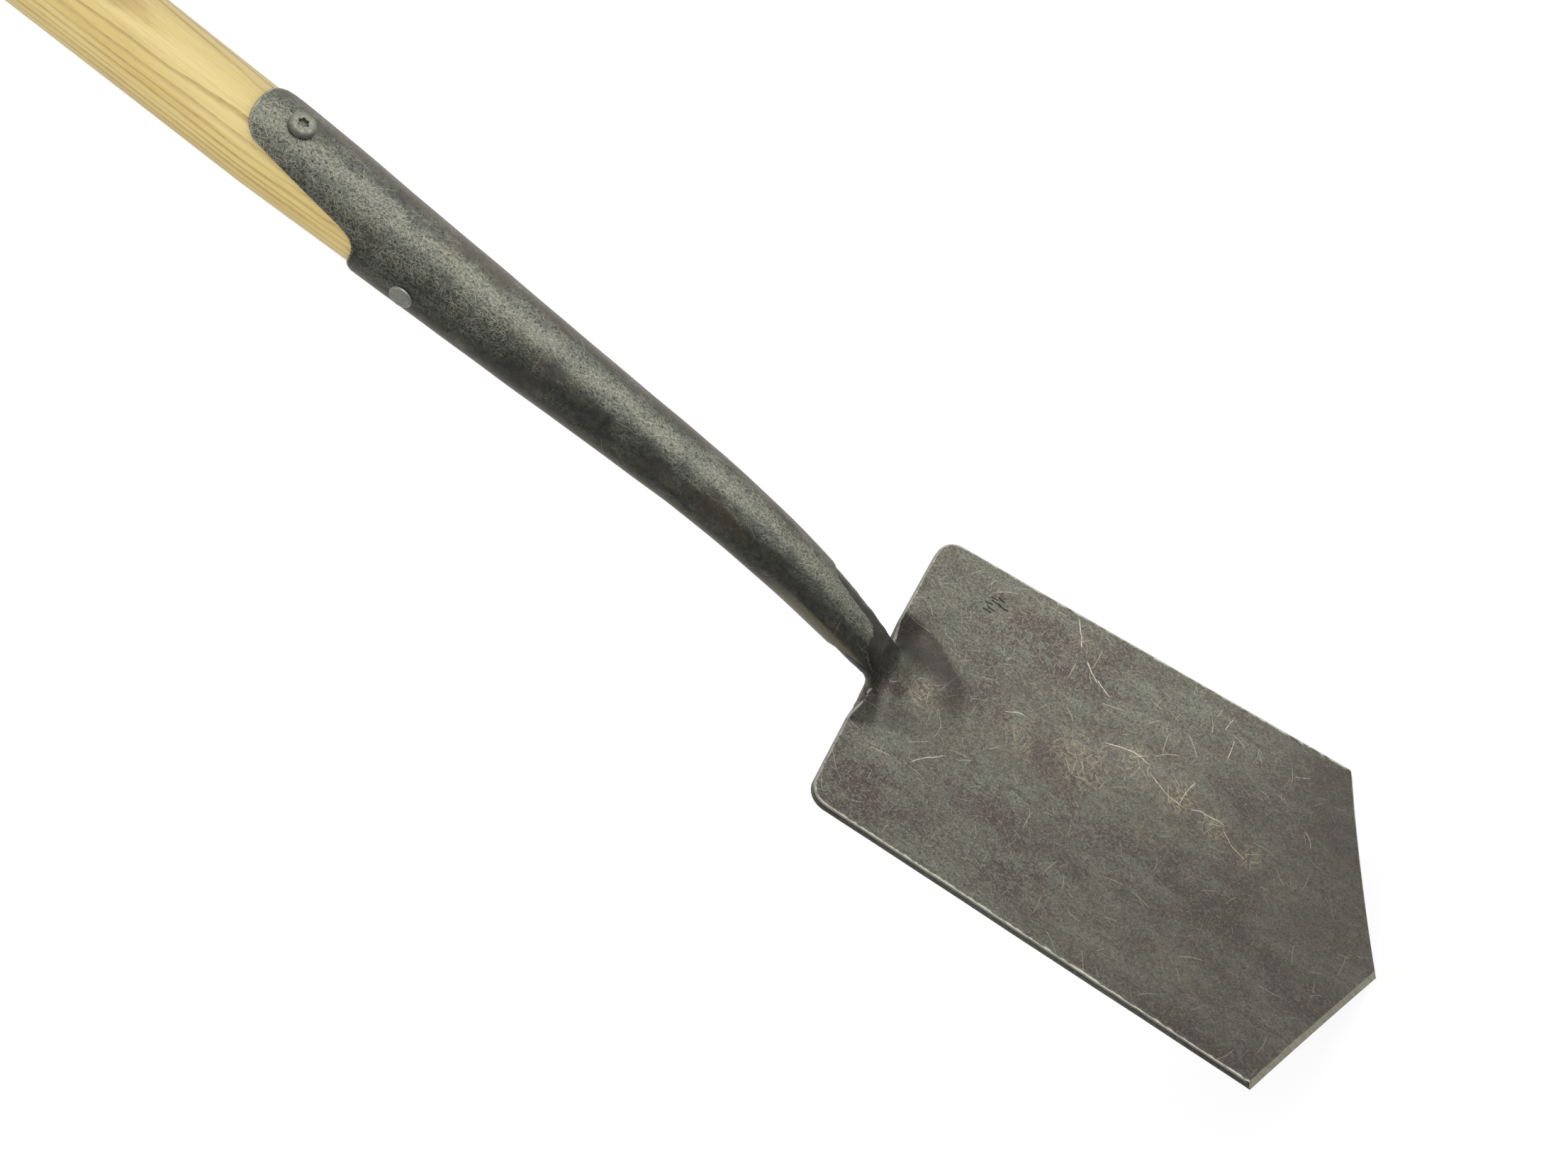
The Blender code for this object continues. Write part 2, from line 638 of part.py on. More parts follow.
def main():
    clear_scene()
    blade_steel = principled("blade_steel", (0.16, 0.155, 0.15), 0.45, 0.85)
    socket_steel = principled("socket_steel", (0.17, 0.17, 0.155), 0.42, 0.85)
    zinc = principled("zinc_steel", (0.30, 0.31, 0.32), 0.5, 0.8)
    rivet_steel = principled("rivet_steel", (0.42, 0.42, 0.38), 0.45, 0.8)
    shaft_ash = principled("shaft_ash", (0.62, 0.46, 0.24), 0.38, 0.0)
    grip_ash = principled("grip_ash", (0.70, 0.60, 0.38), 0.5, 0.0)
    dowel_beech = principled("dowel_beech", (0.60, 0.45, 0.26), 0.55, 0.0)

    blade = make_blade(blade_steel)
    socket = make_socket(socket_steel)
    weld = make_neck_weld(socket_steel)
    shaft = make_shaft(shaft_ash)
    grip = make_t_grip(grip_ash)
    screw = make_strap_screw(zinc, socket, shaft)
    rivet = make_socket_rivet(rivet_steel, socket, shaft)
    dowel = make_grip_dowel(dowel_beech, grip, shaft)
    pieces = [blade, socket, weld, shaft, grip, screw, rivet, dowel]
    cutters = [obj for obj in bpy.data.objects if obj not in pieces]
    stand_on_origin(pieces, cutters)


main()
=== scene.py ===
"""Looks of the garden spade: fine surfaces and procedural materials round the fixed CAD frame.

Design numbers are in millimetres, with the shaft's axis at x = y = 0. place() takes a design
point into the frame, where everything is in metres.
"""
import math

import bmesh
import bpy
import numpy as np
from mathutils import Euler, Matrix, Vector


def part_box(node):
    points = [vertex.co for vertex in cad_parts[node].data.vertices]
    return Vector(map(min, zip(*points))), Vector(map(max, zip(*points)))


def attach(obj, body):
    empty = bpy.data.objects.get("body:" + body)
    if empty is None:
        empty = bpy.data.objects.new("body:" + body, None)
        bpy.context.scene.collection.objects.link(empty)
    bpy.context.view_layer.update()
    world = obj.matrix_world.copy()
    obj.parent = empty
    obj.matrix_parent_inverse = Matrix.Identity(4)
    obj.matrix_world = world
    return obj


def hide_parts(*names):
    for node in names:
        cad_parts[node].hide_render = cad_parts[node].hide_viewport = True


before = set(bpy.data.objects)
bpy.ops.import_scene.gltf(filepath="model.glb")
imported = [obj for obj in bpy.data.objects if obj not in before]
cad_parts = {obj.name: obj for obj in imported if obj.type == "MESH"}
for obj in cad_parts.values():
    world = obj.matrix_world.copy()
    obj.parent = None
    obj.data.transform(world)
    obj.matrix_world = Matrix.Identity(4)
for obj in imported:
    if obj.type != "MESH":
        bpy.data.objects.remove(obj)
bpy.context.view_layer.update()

MM = 0.001
BODY = "root"

BLADE_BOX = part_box("blade")
SHAFT_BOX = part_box("shaft")
GRIP_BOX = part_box("t_grip")

# Blade: x across, w up from the point, n back from the front face
HALF_WIDTH = BLADE_BOX[1].x / MM
BLADE_LENGTH = 243.5
POINT_LENGTH = 39.0
POINT_SLANT = math.hypot(POINT_LENGTH, HALF_WIDTH)
HALF_TOP = 70.5
THICKNESS = 4.6
TOP_CORNER = 8.5
TILT = math.radians(11.2)
DISH = 6.3
POINT_FORWARD = 29.6
HOLLOW_FLOOR = 203.0
HOLLOW_WIDENING = 0.0058
HOLLOW_POWER = 2.6
HOLLOW_SLOPE = 0.19
HOLLOW_SOFTNESS = 2.0
TOP_DIP_FRONT = 2.6
TOP_DIP_BACK = 1.2
BACK_EASE = 1.2

# Socket, neck and weld
GAP = 0.3
SHEET = 1.8
MOUTH_Z = 495.2
MOUTH_FALL = 2.4
STRAP_TOP_Z = 552.0
STRAP_END_DEPTH = 14.0
STRAP_END_FULLNESS = 2.5
FILLET_HEIGHT = 12.3
CAVITY_FLOOR_Z = 350.0
SLOT_END_Z = 360.0
SLOT_WIDTH = 2.4
BEND_START_Z = 355.0
BEND_RADIUS = 354.0
NECK_END_Z = 242.0
NECK_END_RADIUS = 10.4
WELD_HEIGHT = 32.0
WELD_RAMP = 15.5
WELD_BACK_SWELL = 4.0
WELD_BACK_SLOPE = 0.3
WELD_FLARE = 2.5
WELD_FILLET = 28.0
NECK_FILLET = 5.0
WELD_END_Z = 224.0

# Shaft and grip
TAPER_TOP_Z = 543.0
SHAFT_RADIUS = 18.0
SHAFT_BELLY_RADIUS = 18.7
SHAFT_BELLY_Z = 790.0
SHAFT_TOP_RADIUS = 16.75
SOCKET_TAPER = 0.031
SHOULDER_Z = 1058.0
TENON_RADIUS = 11.0
GRIP_TOP_Z = 1100.0
GRIP_HALF_LENGTH = 66.0
GRIP_CROWN = 8.2
GRIP_ROUNDING = 4.5
GRIP_BACK_Y = 21.0

# Fixings
SCREW_Z = 534.7
SCREW_HEAD_RADIUS = 5.1
SCREW_FLAT_RADIUS = 3.2
SCREW_SHANK_RADIUS = 1.7
SCREW_HEAD_HEIGHT = 2.9
TORX_RADIUS = 2.25
RIVET_Z = 472.0
RIVET_HEAD_RADIUS = 4.8
RIVET_HEAD_HEIGHT = 0.9
DOWEL_RADIUS = 3.0
DOWEL_Z = 1071.0

AXIS_Y = (SHAFT_BOX[0].y + SHAFT_BOX[1].y) / 2 / MM
LIFT = GRIP_BOX[1].z / MM - GRIP_TOP_Z
SHAFT_FOOT_Z = SHAFT_BOX[0].z / MM - LIFT
SHAFT_TOP_Z = SHAFT_BOX[1].z / MM - LIFT


# ---------------------------------------------------------------- small maths

def smoothstep(value, low, high):
    """0 at low, 1 at high, smooth between, for numbers and arrays."""
    t = np.clip((value - low) / (high - low), 0.0, 1.0)
    return t * t * (3.0 - 2.0 * t)


def blend(a, b, t):
    return a + (b - a) * t


def ripple(a, b, size, seed):
    """Gentle unevenness between about -1 and 1, made of five crossing waves."""
    total = 0.0
    for k in range(5):
        turn = seed * 1.7 + k * 2.399
        pace = (0.6 + 0.31 * k) * 2 * math.pi / size
        total = total + np.sin((a * math.cos(turn) + b * math.sin(turn)) * pace + turn * 3.1)
    return total / 3.0


def place(points):
    """Design millimetres to frame metres."""
    return (np.asarray(points, float) + (0.0, AXIS_Y, LIFT)) * MM


# ---------------------------------------------------------------- meshes

def sheet(points, uv, marks=None, material=0):
    """A grid of points (rows, columns, 3) with its surface coordinates, point marks and face materials."""
    return {"points": np.asarray(points, float), "uv": np.asarray(uv, float), "marks": marks or {},
            "material": material}


def fan(ring, ring_uv, marks=None):
    """A lid: the ring drawn to its middle."""
    points = np.stack([ring, np.broadcast_to(ring.mean(axis=0), ring.shape)])
    uv = np.stack([ring_uv, np.broadcast_to(ring_uv.mean(axis=0), ring_uv.shape)])
    return sheet(points, uv, marks)


def joined(name, sheets):
    """One closed mesh out of its sheets, welded where they meet. A mark that a sheet lacks is 0."""
    points, faces, uvs, indices = [], [], [], []
    marks = {key: [] for part in sheets for key in part["marks"]}
    start = 0
    for part in sheets:
        rows, columns = part["points"].shape[:2]
        grid = np.arange(rows * columns).reshape(rows, columns)
        quads = np.stack([grid[:-1, :-1], grid[:-1, 1:], grid[1:, 1:], grid[1:, :-1]], axis=-1)
        points.append(part["points"].reshape(-1, 3))
        faces.append(start + quads.reshape(-1, 4))
        uvs.append(part["uv"].reshape(-1, 2)[quads.ravel()])
        indices.append(np.broadcast_to(part["material"], (rows - 1, columns - 1)).ravel())
        for key, values in marks.items():
            values.append(np.broadcast_to(part["marks"].get(key, 0.0), (rows, columns)).ravel())
        start += rows * columns
    mesh = bpy.data.meshes.new(name)
    mesh.from_pydata(place(np.concatenate(points)).tolist(), [], np.concatenate(faces).tolist())
    layer = mesh.uv_layers.new(name="surface")
    layer.data.foreach_set("uv", np.concatenate(uvs).astype(np.float32).ravel())
    mesh.polygons.foreach_set("material_index", np.concatenate(indices).astype(np.int32))
    for key, values in marks.items():
        mark = mesh.attributes.new(key, "FLOAT", "POINT")
        mark.data.foreach_set("value", np.concatenate(values).astype(np.float32))

    bm = bmesh.new()
    bm.from_mesh(mesh)
    bmesh.ops.remove_doubles(bm, verts=bm.verts, dist=0.002 * MM)
    loose = [edge for edge in bm.edges if not edge.link_faces]
    bmesh.ops.delete(bm, geom=loose, context="EDGES")
    bmesh.ops.recalc_face_normals(bm, faces=bm.faces)
    bm.to_mesh(mesh)
    bm.free()
    return mesh


def smooth(mesh, sharp):
    """Smooth shading, except across edges sharper than an angle in degrees."""
    mesh.shade_smooth()
    mesh.set_sharp_from_angle(angle=math.radians(sharp))


def new_object(name, data):
    obj = bpy.data.objects.new(name, data)
    bpy.context.scene.collection.objects.link(obj)
    return obj


def build(name, sheets, materials, cad_node, sharp=40.0):
    """A piece of the spade, standing for a CAD node."""
    mesh = joined(name, sheets)
    for material in materials:
        mesh.materials.append(material)
    smooth(mesh, sharp)
    obj = new_object(name, mesh)
    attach(obj, BODY)
    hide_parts(cad_node)
    return obj


def carve(obj, name, cutter_sheet):
    """Cuts a closed shape out of a piece for good."""
    cutter = new_object(name, joined(name, [cutter_sheet]))
    modifier = obj.modifiers.new("cut", "BOOLEAN")
    modifier.operation = "DIFFERENCE"
    modifier.solver = "EXACT"
    modifier.object = cutter
    graph = bpy.context.evaluated_depsgraph_get()
    carved = bpy.data.meshes.new_from_object(obj.evaluated_get(graph), depsgraph=graph)
    obj.modifiers.clear()
    obj.data = carved
    bpy.data.objects.remove(cutter)
    smooth(carved, 40.0)


def turned(profile, axis="Z", steps=96, centre=(0.0, 0.0, 0.0), wobble=0.0):
    """Sheet of a turned solid. profile is (radius, height) from one end of the axis to the other."""
    profile = np.asarray(profile, float)
    angle = np.linspace(0.0, 2 * math.pi, steps + 1)
    radius, height = profile[:, :1], profile[:, 1:]
    radius = radius * (1.0 + wobble * np.sin(3 * angle + 0.7) * (radius > 0))
    a = radius * np.cos(angle)
    b = radius * np.sin(angle)
    h = np.broadcast_to(height, a.shape)
    points = np.stack({"Z": (a, b, h), "X": (h, a, b), "Y": (b, h, a)}[axis], axis=-1) + centre
    along = np.concatenate([[0.0], np.cumsum(np.hypot(*np.diff(profile, axis=0).T))])
    widest = profile[:, 0].max()
    uv = np.stack(np.broadcast_arrays(angle * widest, along[:, None]), axis=-1)
    return sheet(points, uv)


# ---------------------------------------------------------------- node helpers

class Value:
    """What a shader node gives. Arithmetic on it adds math nodes to the same tree."""

    def __init__(self, socket):
        self.socket = socket
        self.tree = socket.id_data

    def __add__(self, other):
        return calc("ADD", self, other)

    def __sub__(self, other):
        return calc("SUBTRACT", self, other)

    def __mul__(self, other):
        return calc("MULTIPLY", self, other)

    def __truediv__(self, other):
        return calc("DIVIDE", self, other)

    def __abs__(self):
        return calc("ABSOLUTE", self)


def link(value, socket):
    value.tree.links.new(value.socket, socket)


def node(tree, kind, inputs=None, **settings):
    """A new node with its settings and inputs; an input is a Value or a constant."""
    made = tree.nodes.new(kind)
    for key, value in settings.items():
        setattr(made, key, value)
    for key, value in (inputs or {}).items():
        if isinstance(value, Value):
            link(value, made.inputs[key])
        else:
            made.inputs[key].default_value = value
    return made


def outputs(made):
    return [Value(socket) for socket in made.outputs]


def result(tree, kind, inputs=None, output=0, **settings):
    """What a new node gives."""
    return Value(node(tree, kind, inputs, **settings).outputs[output])


def calc(operation, *values):
    """A math node on Values and numbers, of which at least one is a Value."""
    tree = next(value.tree for value in values if isinstance(value, Value))
    return result(tree, "ShaderNodeMath", dict(enumerate(values)), operation=operation)


def largest(first, second):
    return calc("MAXIMUM", first, second)


def between(value, low, high, start=0.0, end=1.0):
    """start at low, end at high, smooth and clamped."""
    return result(value.tree, "ShaderNodeMapRange", {0: value, 1: low, 2: high, 3: start, 4: end},
                  interpolation_type="SMOOTHSTEP")


def vector_math(operation, *values):
    tree = next(value.tree for value in values if isinstance(value, Value))
    return result(tree, "ShaderNodeVectorMath", dict(enumerate(values)), operation=operation)


def scaled(vector, size, shift=(0.0, 0.0, 0.0)):
    """The vector divided by a size, or by one size per axis, then shifted."""
    sizes = size if isinstance(size, tuple) else (size, size, size)
    return vector_math("MULTIPLY_ADD", vector, tuple(1.0 / s for s in sizes), shift)


def speckle(vector, size, detail=2.0, roughness=0.5, shift=0.0):
    """Noise from 0 to 1 with features of the given size."""
    where = scaled(vector, size, (shift, shift * 0.7, shift * 0.3))
    settings = {"Vector": where, "Scale": 1.0, "Detail": detail, "Roughness": roughness}
    return result(vector.tree, "ShaderNodeTexNoise", settings, "Fac")


def warped(vector, amount, size):
    """The vector pushed about a little, so that straight strokes come out hand made."""
    settings = {"Vector": scaled(vector, size), "Scale": 1.0, "Detail": 1.0}
    push = result(vector.tree, "ShaderNodeTexNoise", settings, "Color")
    centred = vector_math("SUBTRACT", push, (0.5, 0.5, 0.5))
    return vector_math("MULTIPLY_ADD", centred, (amount, amount, 0.0), vector)


def mixed(factor, a, b):
    """Colour a where the factor is 0 and colour b where it is 1."""
    colours = [colour if isinstance(colour, Value) else (*colour, 1.0) for colour in (a, b)]
    return result(factor.tree, "ShaderNodeMix", {0: factor, 6: colours[0], 7: colours[1]}, 2,
                  data_type="RGBA")


def attribute(tree, name):
    return result(tree, "ShaderNodeAttribute", output="Fac", attribute_name=name)


def new_group(name, *settings):
    """A node group with a vector and float inputs that gives one mask, and its inputs by name."""
    group = bpy.data.node_groups.new(name, "ShaderNodeTree")
    face = group.interface
    face.new_socket("Vector", in_out="INPUT", socket_type="NodeSocketVector")
    for key in settings:
        face.new_socket(key, in_out="INPUT", socket_type="NodeSocketFloat")
    face.new_socket("Mask", in_out="OUTPUT", socket_type="NodeSocketFloat")
    given = group.nodes.new("NodeGroupInput").outputs
    values = {key: Value(given[key]) for key in ("Vector", *settings)}
    return group, values, group.nodes.new("NodeGroupOutput").inputs["Mask"]


def turned_axes(x, y, angle):
    """Distances along and across a line through the origin at an angle."""
    cosine, sine = calc("COSINE", angle), calc("SINE", angle)
    return x * cosine + y * sine, y * cosine - x * sine


def stroke_group():
    """Node group: thin curved strokes, one per cell of a random pattern."""
    group, given, mask = new_group("strokes", "Cell", "Length", "Width", "Bend", "Share", "Seed")
    cell = result(group, "ShaderNodeCombineXYZ", {0: given["Cell"], 1: given["Cell"], 2: 1.0})
    seed = result(group, "ShaderNodeCombineXYZ", {0: given["Seed"], 1: given["Seed"], 2: 0.0})
    where = vector_math("ADD", vector_math("DIVIDE", given["Vector"], cell), seed)
    cells = node(group, "ShaderNodeTexVoronoi", {"Vector": where, "Scale": 1.0}, voronoi_dimensions="2D")
    offset = vector_math("SUBTRACT", where, Value(cells.outputs["Position"]))
    x, y, _ = outputs(node(group, "ShaderNodeSeparateXYZ", {0: offset}))
    colour = Value(cells.outputs["Color"])
    turn, bow, size = outputs(node(group, "ShaderNodeSeparateColor", {0: colour}))
    along, across = turned_axes(x, y, (turn - 0.5) * (2 * math.pi))
    across = along * along * ((bow - 0.5) * given["Bend"]) + across
    line = between(abs(across), given["Width"] / given["Cell"], 0.0)
    reach = given["Length"] * (size * 0.35 + 0.15)
    ends = between(abs(along), reach, reach * 0.6)
    shown = calc("LESS_THAN", bow, given["Share"])
    link(line * ends * (shown * (size * 0.6 + 0.4)), mask)
    return group


def scratch_group():
    """Node group: one long, slightly curved scratch at a stated place."""
    group, given, mask = new_group("scratch", "X", "Y", "Turn", "Half", "Bend", "Width")
    x, y, _ = outputs(node(group, "ShaderNodeSeparateXYZ", {0: given["Vector"]}))
    along, across = turned_axes(x - given["X"], y - given["Y"], given["Turn"])
    share = along / given["Half"]
    across = (share * share * -1.0 + 1.0) * (given["Bend"] * -1.0) + across
    line = between(abs(across), given["Width"], 0.0)
    link(line * between(abs(share), 1.0, 0.7), mask)
    return group


STROKES = stroke_group()
SCRATCH = scratch_group()


def strokes(vector, cell, length, width, bend, share, seed):
    """Mask of many short strokes; sizes are in millimetres, length counts cells."""
    settings = {"Vector": vector, "Cell": cell, "Length": length, "Width": width, "Bend": bend,
                "Share": share, "Seed": seed}
    return result(vector.tree, "ShaderNodeGroup", settings, node_tree=STROKES)


def hairs(vector, layers, length, bend):
    """Strongest of several layers of strokes; a layer is (cell, width, share, seed)."""
    total = None
    for cell, width, share, seed in layers:
        layer = strokes(vector, cell, length, width, bend, share, seed)
        total = layer if total is None else largest(total, layer)
    return total


def scratches(vector, marks):
    """Strongest of several single scratches; a mark is (x, y, angle in degrees, half length, bow, width)."""
    total = None
    for x, y, turn, half, bow, width in marks:
        settings = {"Vector": vector, "X": x, "Y": y, "Turn": math.radians(turn), "Half": half,
                    "Bend": bow, "Width": width}
        layer = result(vector.tree, "ShaderNodeGroup", settings, node_tree=SCRATCH)
        total = layer if total is None else largest(total, layer)
    return total


def new_material(name):
    material = bpy.data.materials.new(name)
    material.use_nodes = True
    tree = material.node_tree
    return material, tree, tree.nodes["Principled BSDF"]


def surface_mm(tree):
    """The piece's own surface coordinates, in millimetres."""
    return result(tree, "ShaderNodeUVMap", uv_map="surface")


def set_looks(shader, colour, metallic, roughness, height, bump_mm):
    """Connect what a material's nodes came to; roughness is a Value or a number."""
    link(colour, shader.inputs["Base Color"])
    shader.inputs["Metallic"].default_value = metallic
    if isinstance(roughness, Value):
        link(roughness, shader.inputs["Roughness"])
    else:
        shader.inputs["Roughness"].default_value = roughness
    bump = result(colour.tree, "ShaderNodeBump", {"Height": height, "Strength": 1.0,
                                                  "Distance": bump_mm * MM})
    link(bump, shader.inputs["Normal"])


# ---------------------------------------------------------------- materials

# Layers of hair-like strokes: (cell, width, share, seed)
SOCKET_HAIRS = ((2.1, 0.2, 0.9, 1.0), (1.4, 0.17, 0.9, 7.3), (2.7, 0.2, 0.85, 13.1),
                (1.7, 0.18, 0.9, 29.7), (3.6, 0.2, 0.7, 41.0))
BLADE_HAIRS = ((1.3, 0.15, 0.5, 3.0), (2.1, 0.15, 0.45, 53.0), (3.4, 0.17, 0.45, 23.0),
               (6.0, 0.2, 0.4, 37.0))


def socket_steel():
    """Dark forged steel, rubbed into short hair-like strokes where hands and soil wear it, gathered with a
    painted sheen into a painted highlight band down the front.
    """
    material, tree, shader = new_material("socket_steel")
    flat = surface_mm(tree)
    where = warped(flat, 0.9, 2.4)
    patch = speckle(where, (12.0, 40.0, 1.0), 3.0, 0.6, 3.0)
    mottle = speckle(where, 2.6, 4.0, 0.7, 9.0)
    grit = speckle(where, 0.7, 2.0, 0.6, 5.0)

    colour = mixed(between(mottle, 0.35, 0.65), (0.062, 0.065, 0.056), (0.115, 0.117, 0.098))
    brown = largest(between(patch, 0.52, 0.66, 0.0, 0.6), attribute(tree, "brown"))
    colour = mixed(brown, colour, mixed(grit, (0.085, 0.07, 0.05), (0.175, 0.155, 0.115)))
    hair = hairs(warped(flat, 0.35, 2.4), SOCKET_HAIRS, 2.0, 0.9)
    cloud = speckle(where, (5.0, 13.0, 1.0), 4.0, 0.65, 21.0)
    # busy carries the rubbing together with its painted highlight band; the pale hairs, the painted sheen
    # and the powder follow it.
    busy = cloud * 3.2 + (attribute(tree, "rub") - 1.9)
    busy = between(busy, -0.45, 0.85, 0.04, 0.95)
    pale = hair * busy
    colour = mixed(pale, colour, (0.42, 0.42, 0.34))
    # Painted sheen: paler steel in the middle of the highlight band.
    painted_sheen = between(busy, 0.7, 1.0, 0.0, 0.25)
    colour = mixed(painted_sheen * grit, colour, (0.36, 0.37, 0.28))
    powder = speckle(flat, (0.8, 1.4, 1.0), 3.0, 0.7, 47.0)
    powder = between(powder, 0.46, 0.6) * busy
    colour = mixed(powder * 0.6, colour, (0.36, 0.36, 0.28))
    scored = strokes(flat, 9.0, 1.3, 0.2, 0.5, 0.5, 57.0)
    colour = mixed(scored * 0.6, colour, (0.45, 0.44, 0.35))
    pits = between(speckle(where, 1.2, 2.0, 0.5, 17.0), 0.36, 0.28)
    colour = mixed(pits * 0.6, colour, (0.025, 0.025, 0.022))
    # Pale edges: burnished wear and a painted highlight along the worn edges and the seam's lip.
    jagged = speckle(where, 1.2, 2.0) * 1.8 + attribute(tree, "edge")
    edge_wear_and_highlight = between(jagged, 1.7, 0.8)
    colour = mixed(edge_wear_and_highlight * 0.75, colour, (0.46, 0.46, 0.4))
    # Painted lit patch: paler olive steel on the neck's left back, where light falls.
    facet = attribute(tree, "facet") * between(grit, 0.2, 0.7, 0.5, 0.9)
    colour = mixed(facet, colour, (0.3, 0.28, 0.2))

    height = pits * -0.7 + (pale * 0.5 + mottle * 0.9)
    set_looks(shader, colour, 0.78, between(pale, 0.0, 1.0, 0.44, 0.55), height, 0.14)
    return material


BLADE_SCRATCHES = (
    (65.0, 173.5, 31.0, 7.0, -0.6, 0.32),
    (52.0, 161.5, 47.0, 5.5, 0.4, 0.40),
    (48.0, 154.5, 65.0, 4.5, 0.3, 0.30),
    (26.5, 133.5, 96.0, 12.0, -2.0, 0.34),
    (22.0, 112.0, 75.0, 11.0, 1.5, 0.34),
    (26.0, 103.0, -10.0, 7.0, 0.5, 0.28),
    (20.8, 91.5, 95.0, 9.0, -1.4, 0.36),
    (16.0, 77.0, 60.0, 8.0, 0.8, 0.30),
    (-26.5, 207.0, -45.0, 9.0, 1.2, 0.30),
    (55.0, 93.5, 2.0, 5.0, 0.3, 0.30),
    (65.0, 98.5, -12.0, 3.5, 0.4, 0.34),
    (37.5, 48.5, 40.0, 4.5, -1.0, 0.32),
    (62.0, 60.0, -58.0, 4.5, 0.2, 0.26),
    (14.8, 183.4, -65.0, 5.0, 0.4, 0.28),
    (26.8, 235.0, 70.0, 5.2, 0.2, 0.30),
)

BLADE_GOUGES = (
    (50.6, 213.4, 92.0, 2.2, 0.2, 0.42),
    (52.4, 212.2, 84.0, 2.3, 0.2, 0.36),
    (54.2, 213.9, 97.0, 2.0, 0.2, 0.40),
    (56.0, 211.0, 88.0, 2.6, 0.2, 0.46),
    (57.4, 212.6, 94.0, 1.8, 0.2, 0.34),
    (58.5, 209.6, 81.0, 2.2, 0.2, 0.42),
    (55.5, 207.4, 90.0, 2.5, 0.2, 0.40),
)


def blade_steel():
    """Worn blade steel: grey and brown patina, fine flecks, scratches and burnished arrises with a painted
    highlight along them, plus painted shade and painted lit patches on the front.
    """
    material, tree, shader = new_material("blade_steel")
    flat = surface_mm(tree)
    where = warped(flat, 1.2, 3.0)
    patch = speckle(where, (26.0, 46.0, 1.0), 5.0, 0.65, 2.0)
    cloud = speckle(where, (9.0, 26.0, 1.0), 5.0, 0.65, 11.0)
    mottle = speckle(where, 3.6, 5.0, 0.7, 7.0)
    fleck = speckle(where, 1.0, 3.0, 0.7, 15.0)
    grain = speckle(flat, (0.5, 0.95, 1.0), 2.0, 0.6, 25.0)
    blot = speckle(where, (1.5, 2.6, 1.0), 3.0, 0.7, 33.0)

    colour = mixed(between(cloud, 0.35, 0.65), (0.114, 0.106, 0.085), (0.147, 0.147, 0.117))
    rough_patch = mottle * 0.7 + (fleck * 0.2 + patch)
    brown = between(rough_patch, 0.96, 1.06)
    colour = mixed(brown * 0.85, colour, (0.08, 0.062, 0.054))
    drag = speckle(where, (3.2, 48.0, 1.0), 3.0, 0.65, 71.0)
    drag = between(drag, 0.56, 0.66) * between(cloud, 0.4, 0.6)
    colour = mixed(drag * 0.55, colour, (0.066, 0.056, 0.046))
    tan = speckle(where, (17.0, 30.0, 1.0), 4.0, 0.6, 61.0)
    tan = between(tan, 0.55, 0.72) * between(mottle, 0.4, 0.6)
    colour = mixed(tan * 0.7, colour, (0.185, 0.172, 0.118))
    colour = mixed(between(blot, 0.38, 0.31, 0.0, 0.6), colour, (0.05, 0.042, 0.038))
    colour = mixed(between(grain, 0.48, 0.34, 0.0, 0.75), colour, (0.048, 0.043, 0.038))
    colour = mixed(between(grain, 0.55, 0.68, 0.0, 0.7), colour, (0.23, 0.23, 0.195))

    hair = hairs(warped(flat, 0.25, 2.5), BLADE_HAIRS, 1.5, 0.6)
    lively = cloud * 1.4 + (attribute(tree, "rub") - 0.9)
    hair = hair * between(lively, -0.3, 0.7, 0.06, 0.6)
    colour = mixed(hair, colour, (0.36, 0.37, 0.3))

    # The streak mark also carries painted lit patches on the hollow's lit left side.
    streak_and_lit_patch = attribute(tree, "streak_and_lit_patch")
    powder = streak_and_lit_patch * between(speckle(where, 2.2, 4.0, 0.75, 31.0), 0.4, 0.7)
    colour = mixed(powder * 0.8, colour, (0.33, 0.305, 0.21))
    chalk = largest(strokes(flat, 3.4, 2.4, 0.24, 1.2, 0.9, 61.0),
                    strokes(flat, 6.0, 2.2, 0.26, 0.9, 0.8, 67.0))
    chalk = chalk * between(streak_and_lit_patch, 0.25, 0.7)
    colour = mixed(chalk * 0.8, colour, (0.47, 0.44, 0.32))
    lone = largest(strokes(flat, 13.0, 1.1, 0.26, 0.7, 0.45, 83.0),
                   strokes(flat, 8.0, 1.0, 0.24, 1.0, 0.3, 89.0))
    colour = mixed(lone * 0.75, colour, (0.44, 0.42, 0.32))
    long = scratches(warped(flat, 3.0, 9.0), BLADE_SCRATCHES) * between(fleck, 0.3, 0.6, 0.3, 1.0)
    colour = mixed(long * 0.95, colour, (0.66, 0.63, 0.5))
    gouge = scratches(flat, BLADE_GOUGES)
    colour = mixed(gouge * 0.75, colour, (0.03, 0.026, 0.024))

    colour = mixed(attribute(tree, "weld") * 0.75, colour, (0.075, 0.078, 0.066))
    # Painted shade: darkens the blade's front low down, on the hollow's right flank, beside it and round the
    # neck.
    colour = mixed(attribute(tree, "painted_shade"), colour, (0.04, 0.034, 0.029))
    # Pale edges: burnished wear and a painted highlight along the front arrises.
    jagged = speckle(where, (1.6, 5.0, 1.0), 4.0, 0.7, 4.0) * 2.2 + attribute(tree, "edge")
    edge_wear_and_highlight = between(jagged, 2.1, 1.2)
    colour = mixed(edge_wear_and_highlight * 0.72, colour, (0.56, 0.55, 0.47))

    height = gouge * -3.0 + (fleck * 0.5 + mottle * 0.8)
    set_looks(shader, colour, 0.75, between(mottle, 0.3, 0.7, 0.55, 0.42), height, 0.12)
    return material


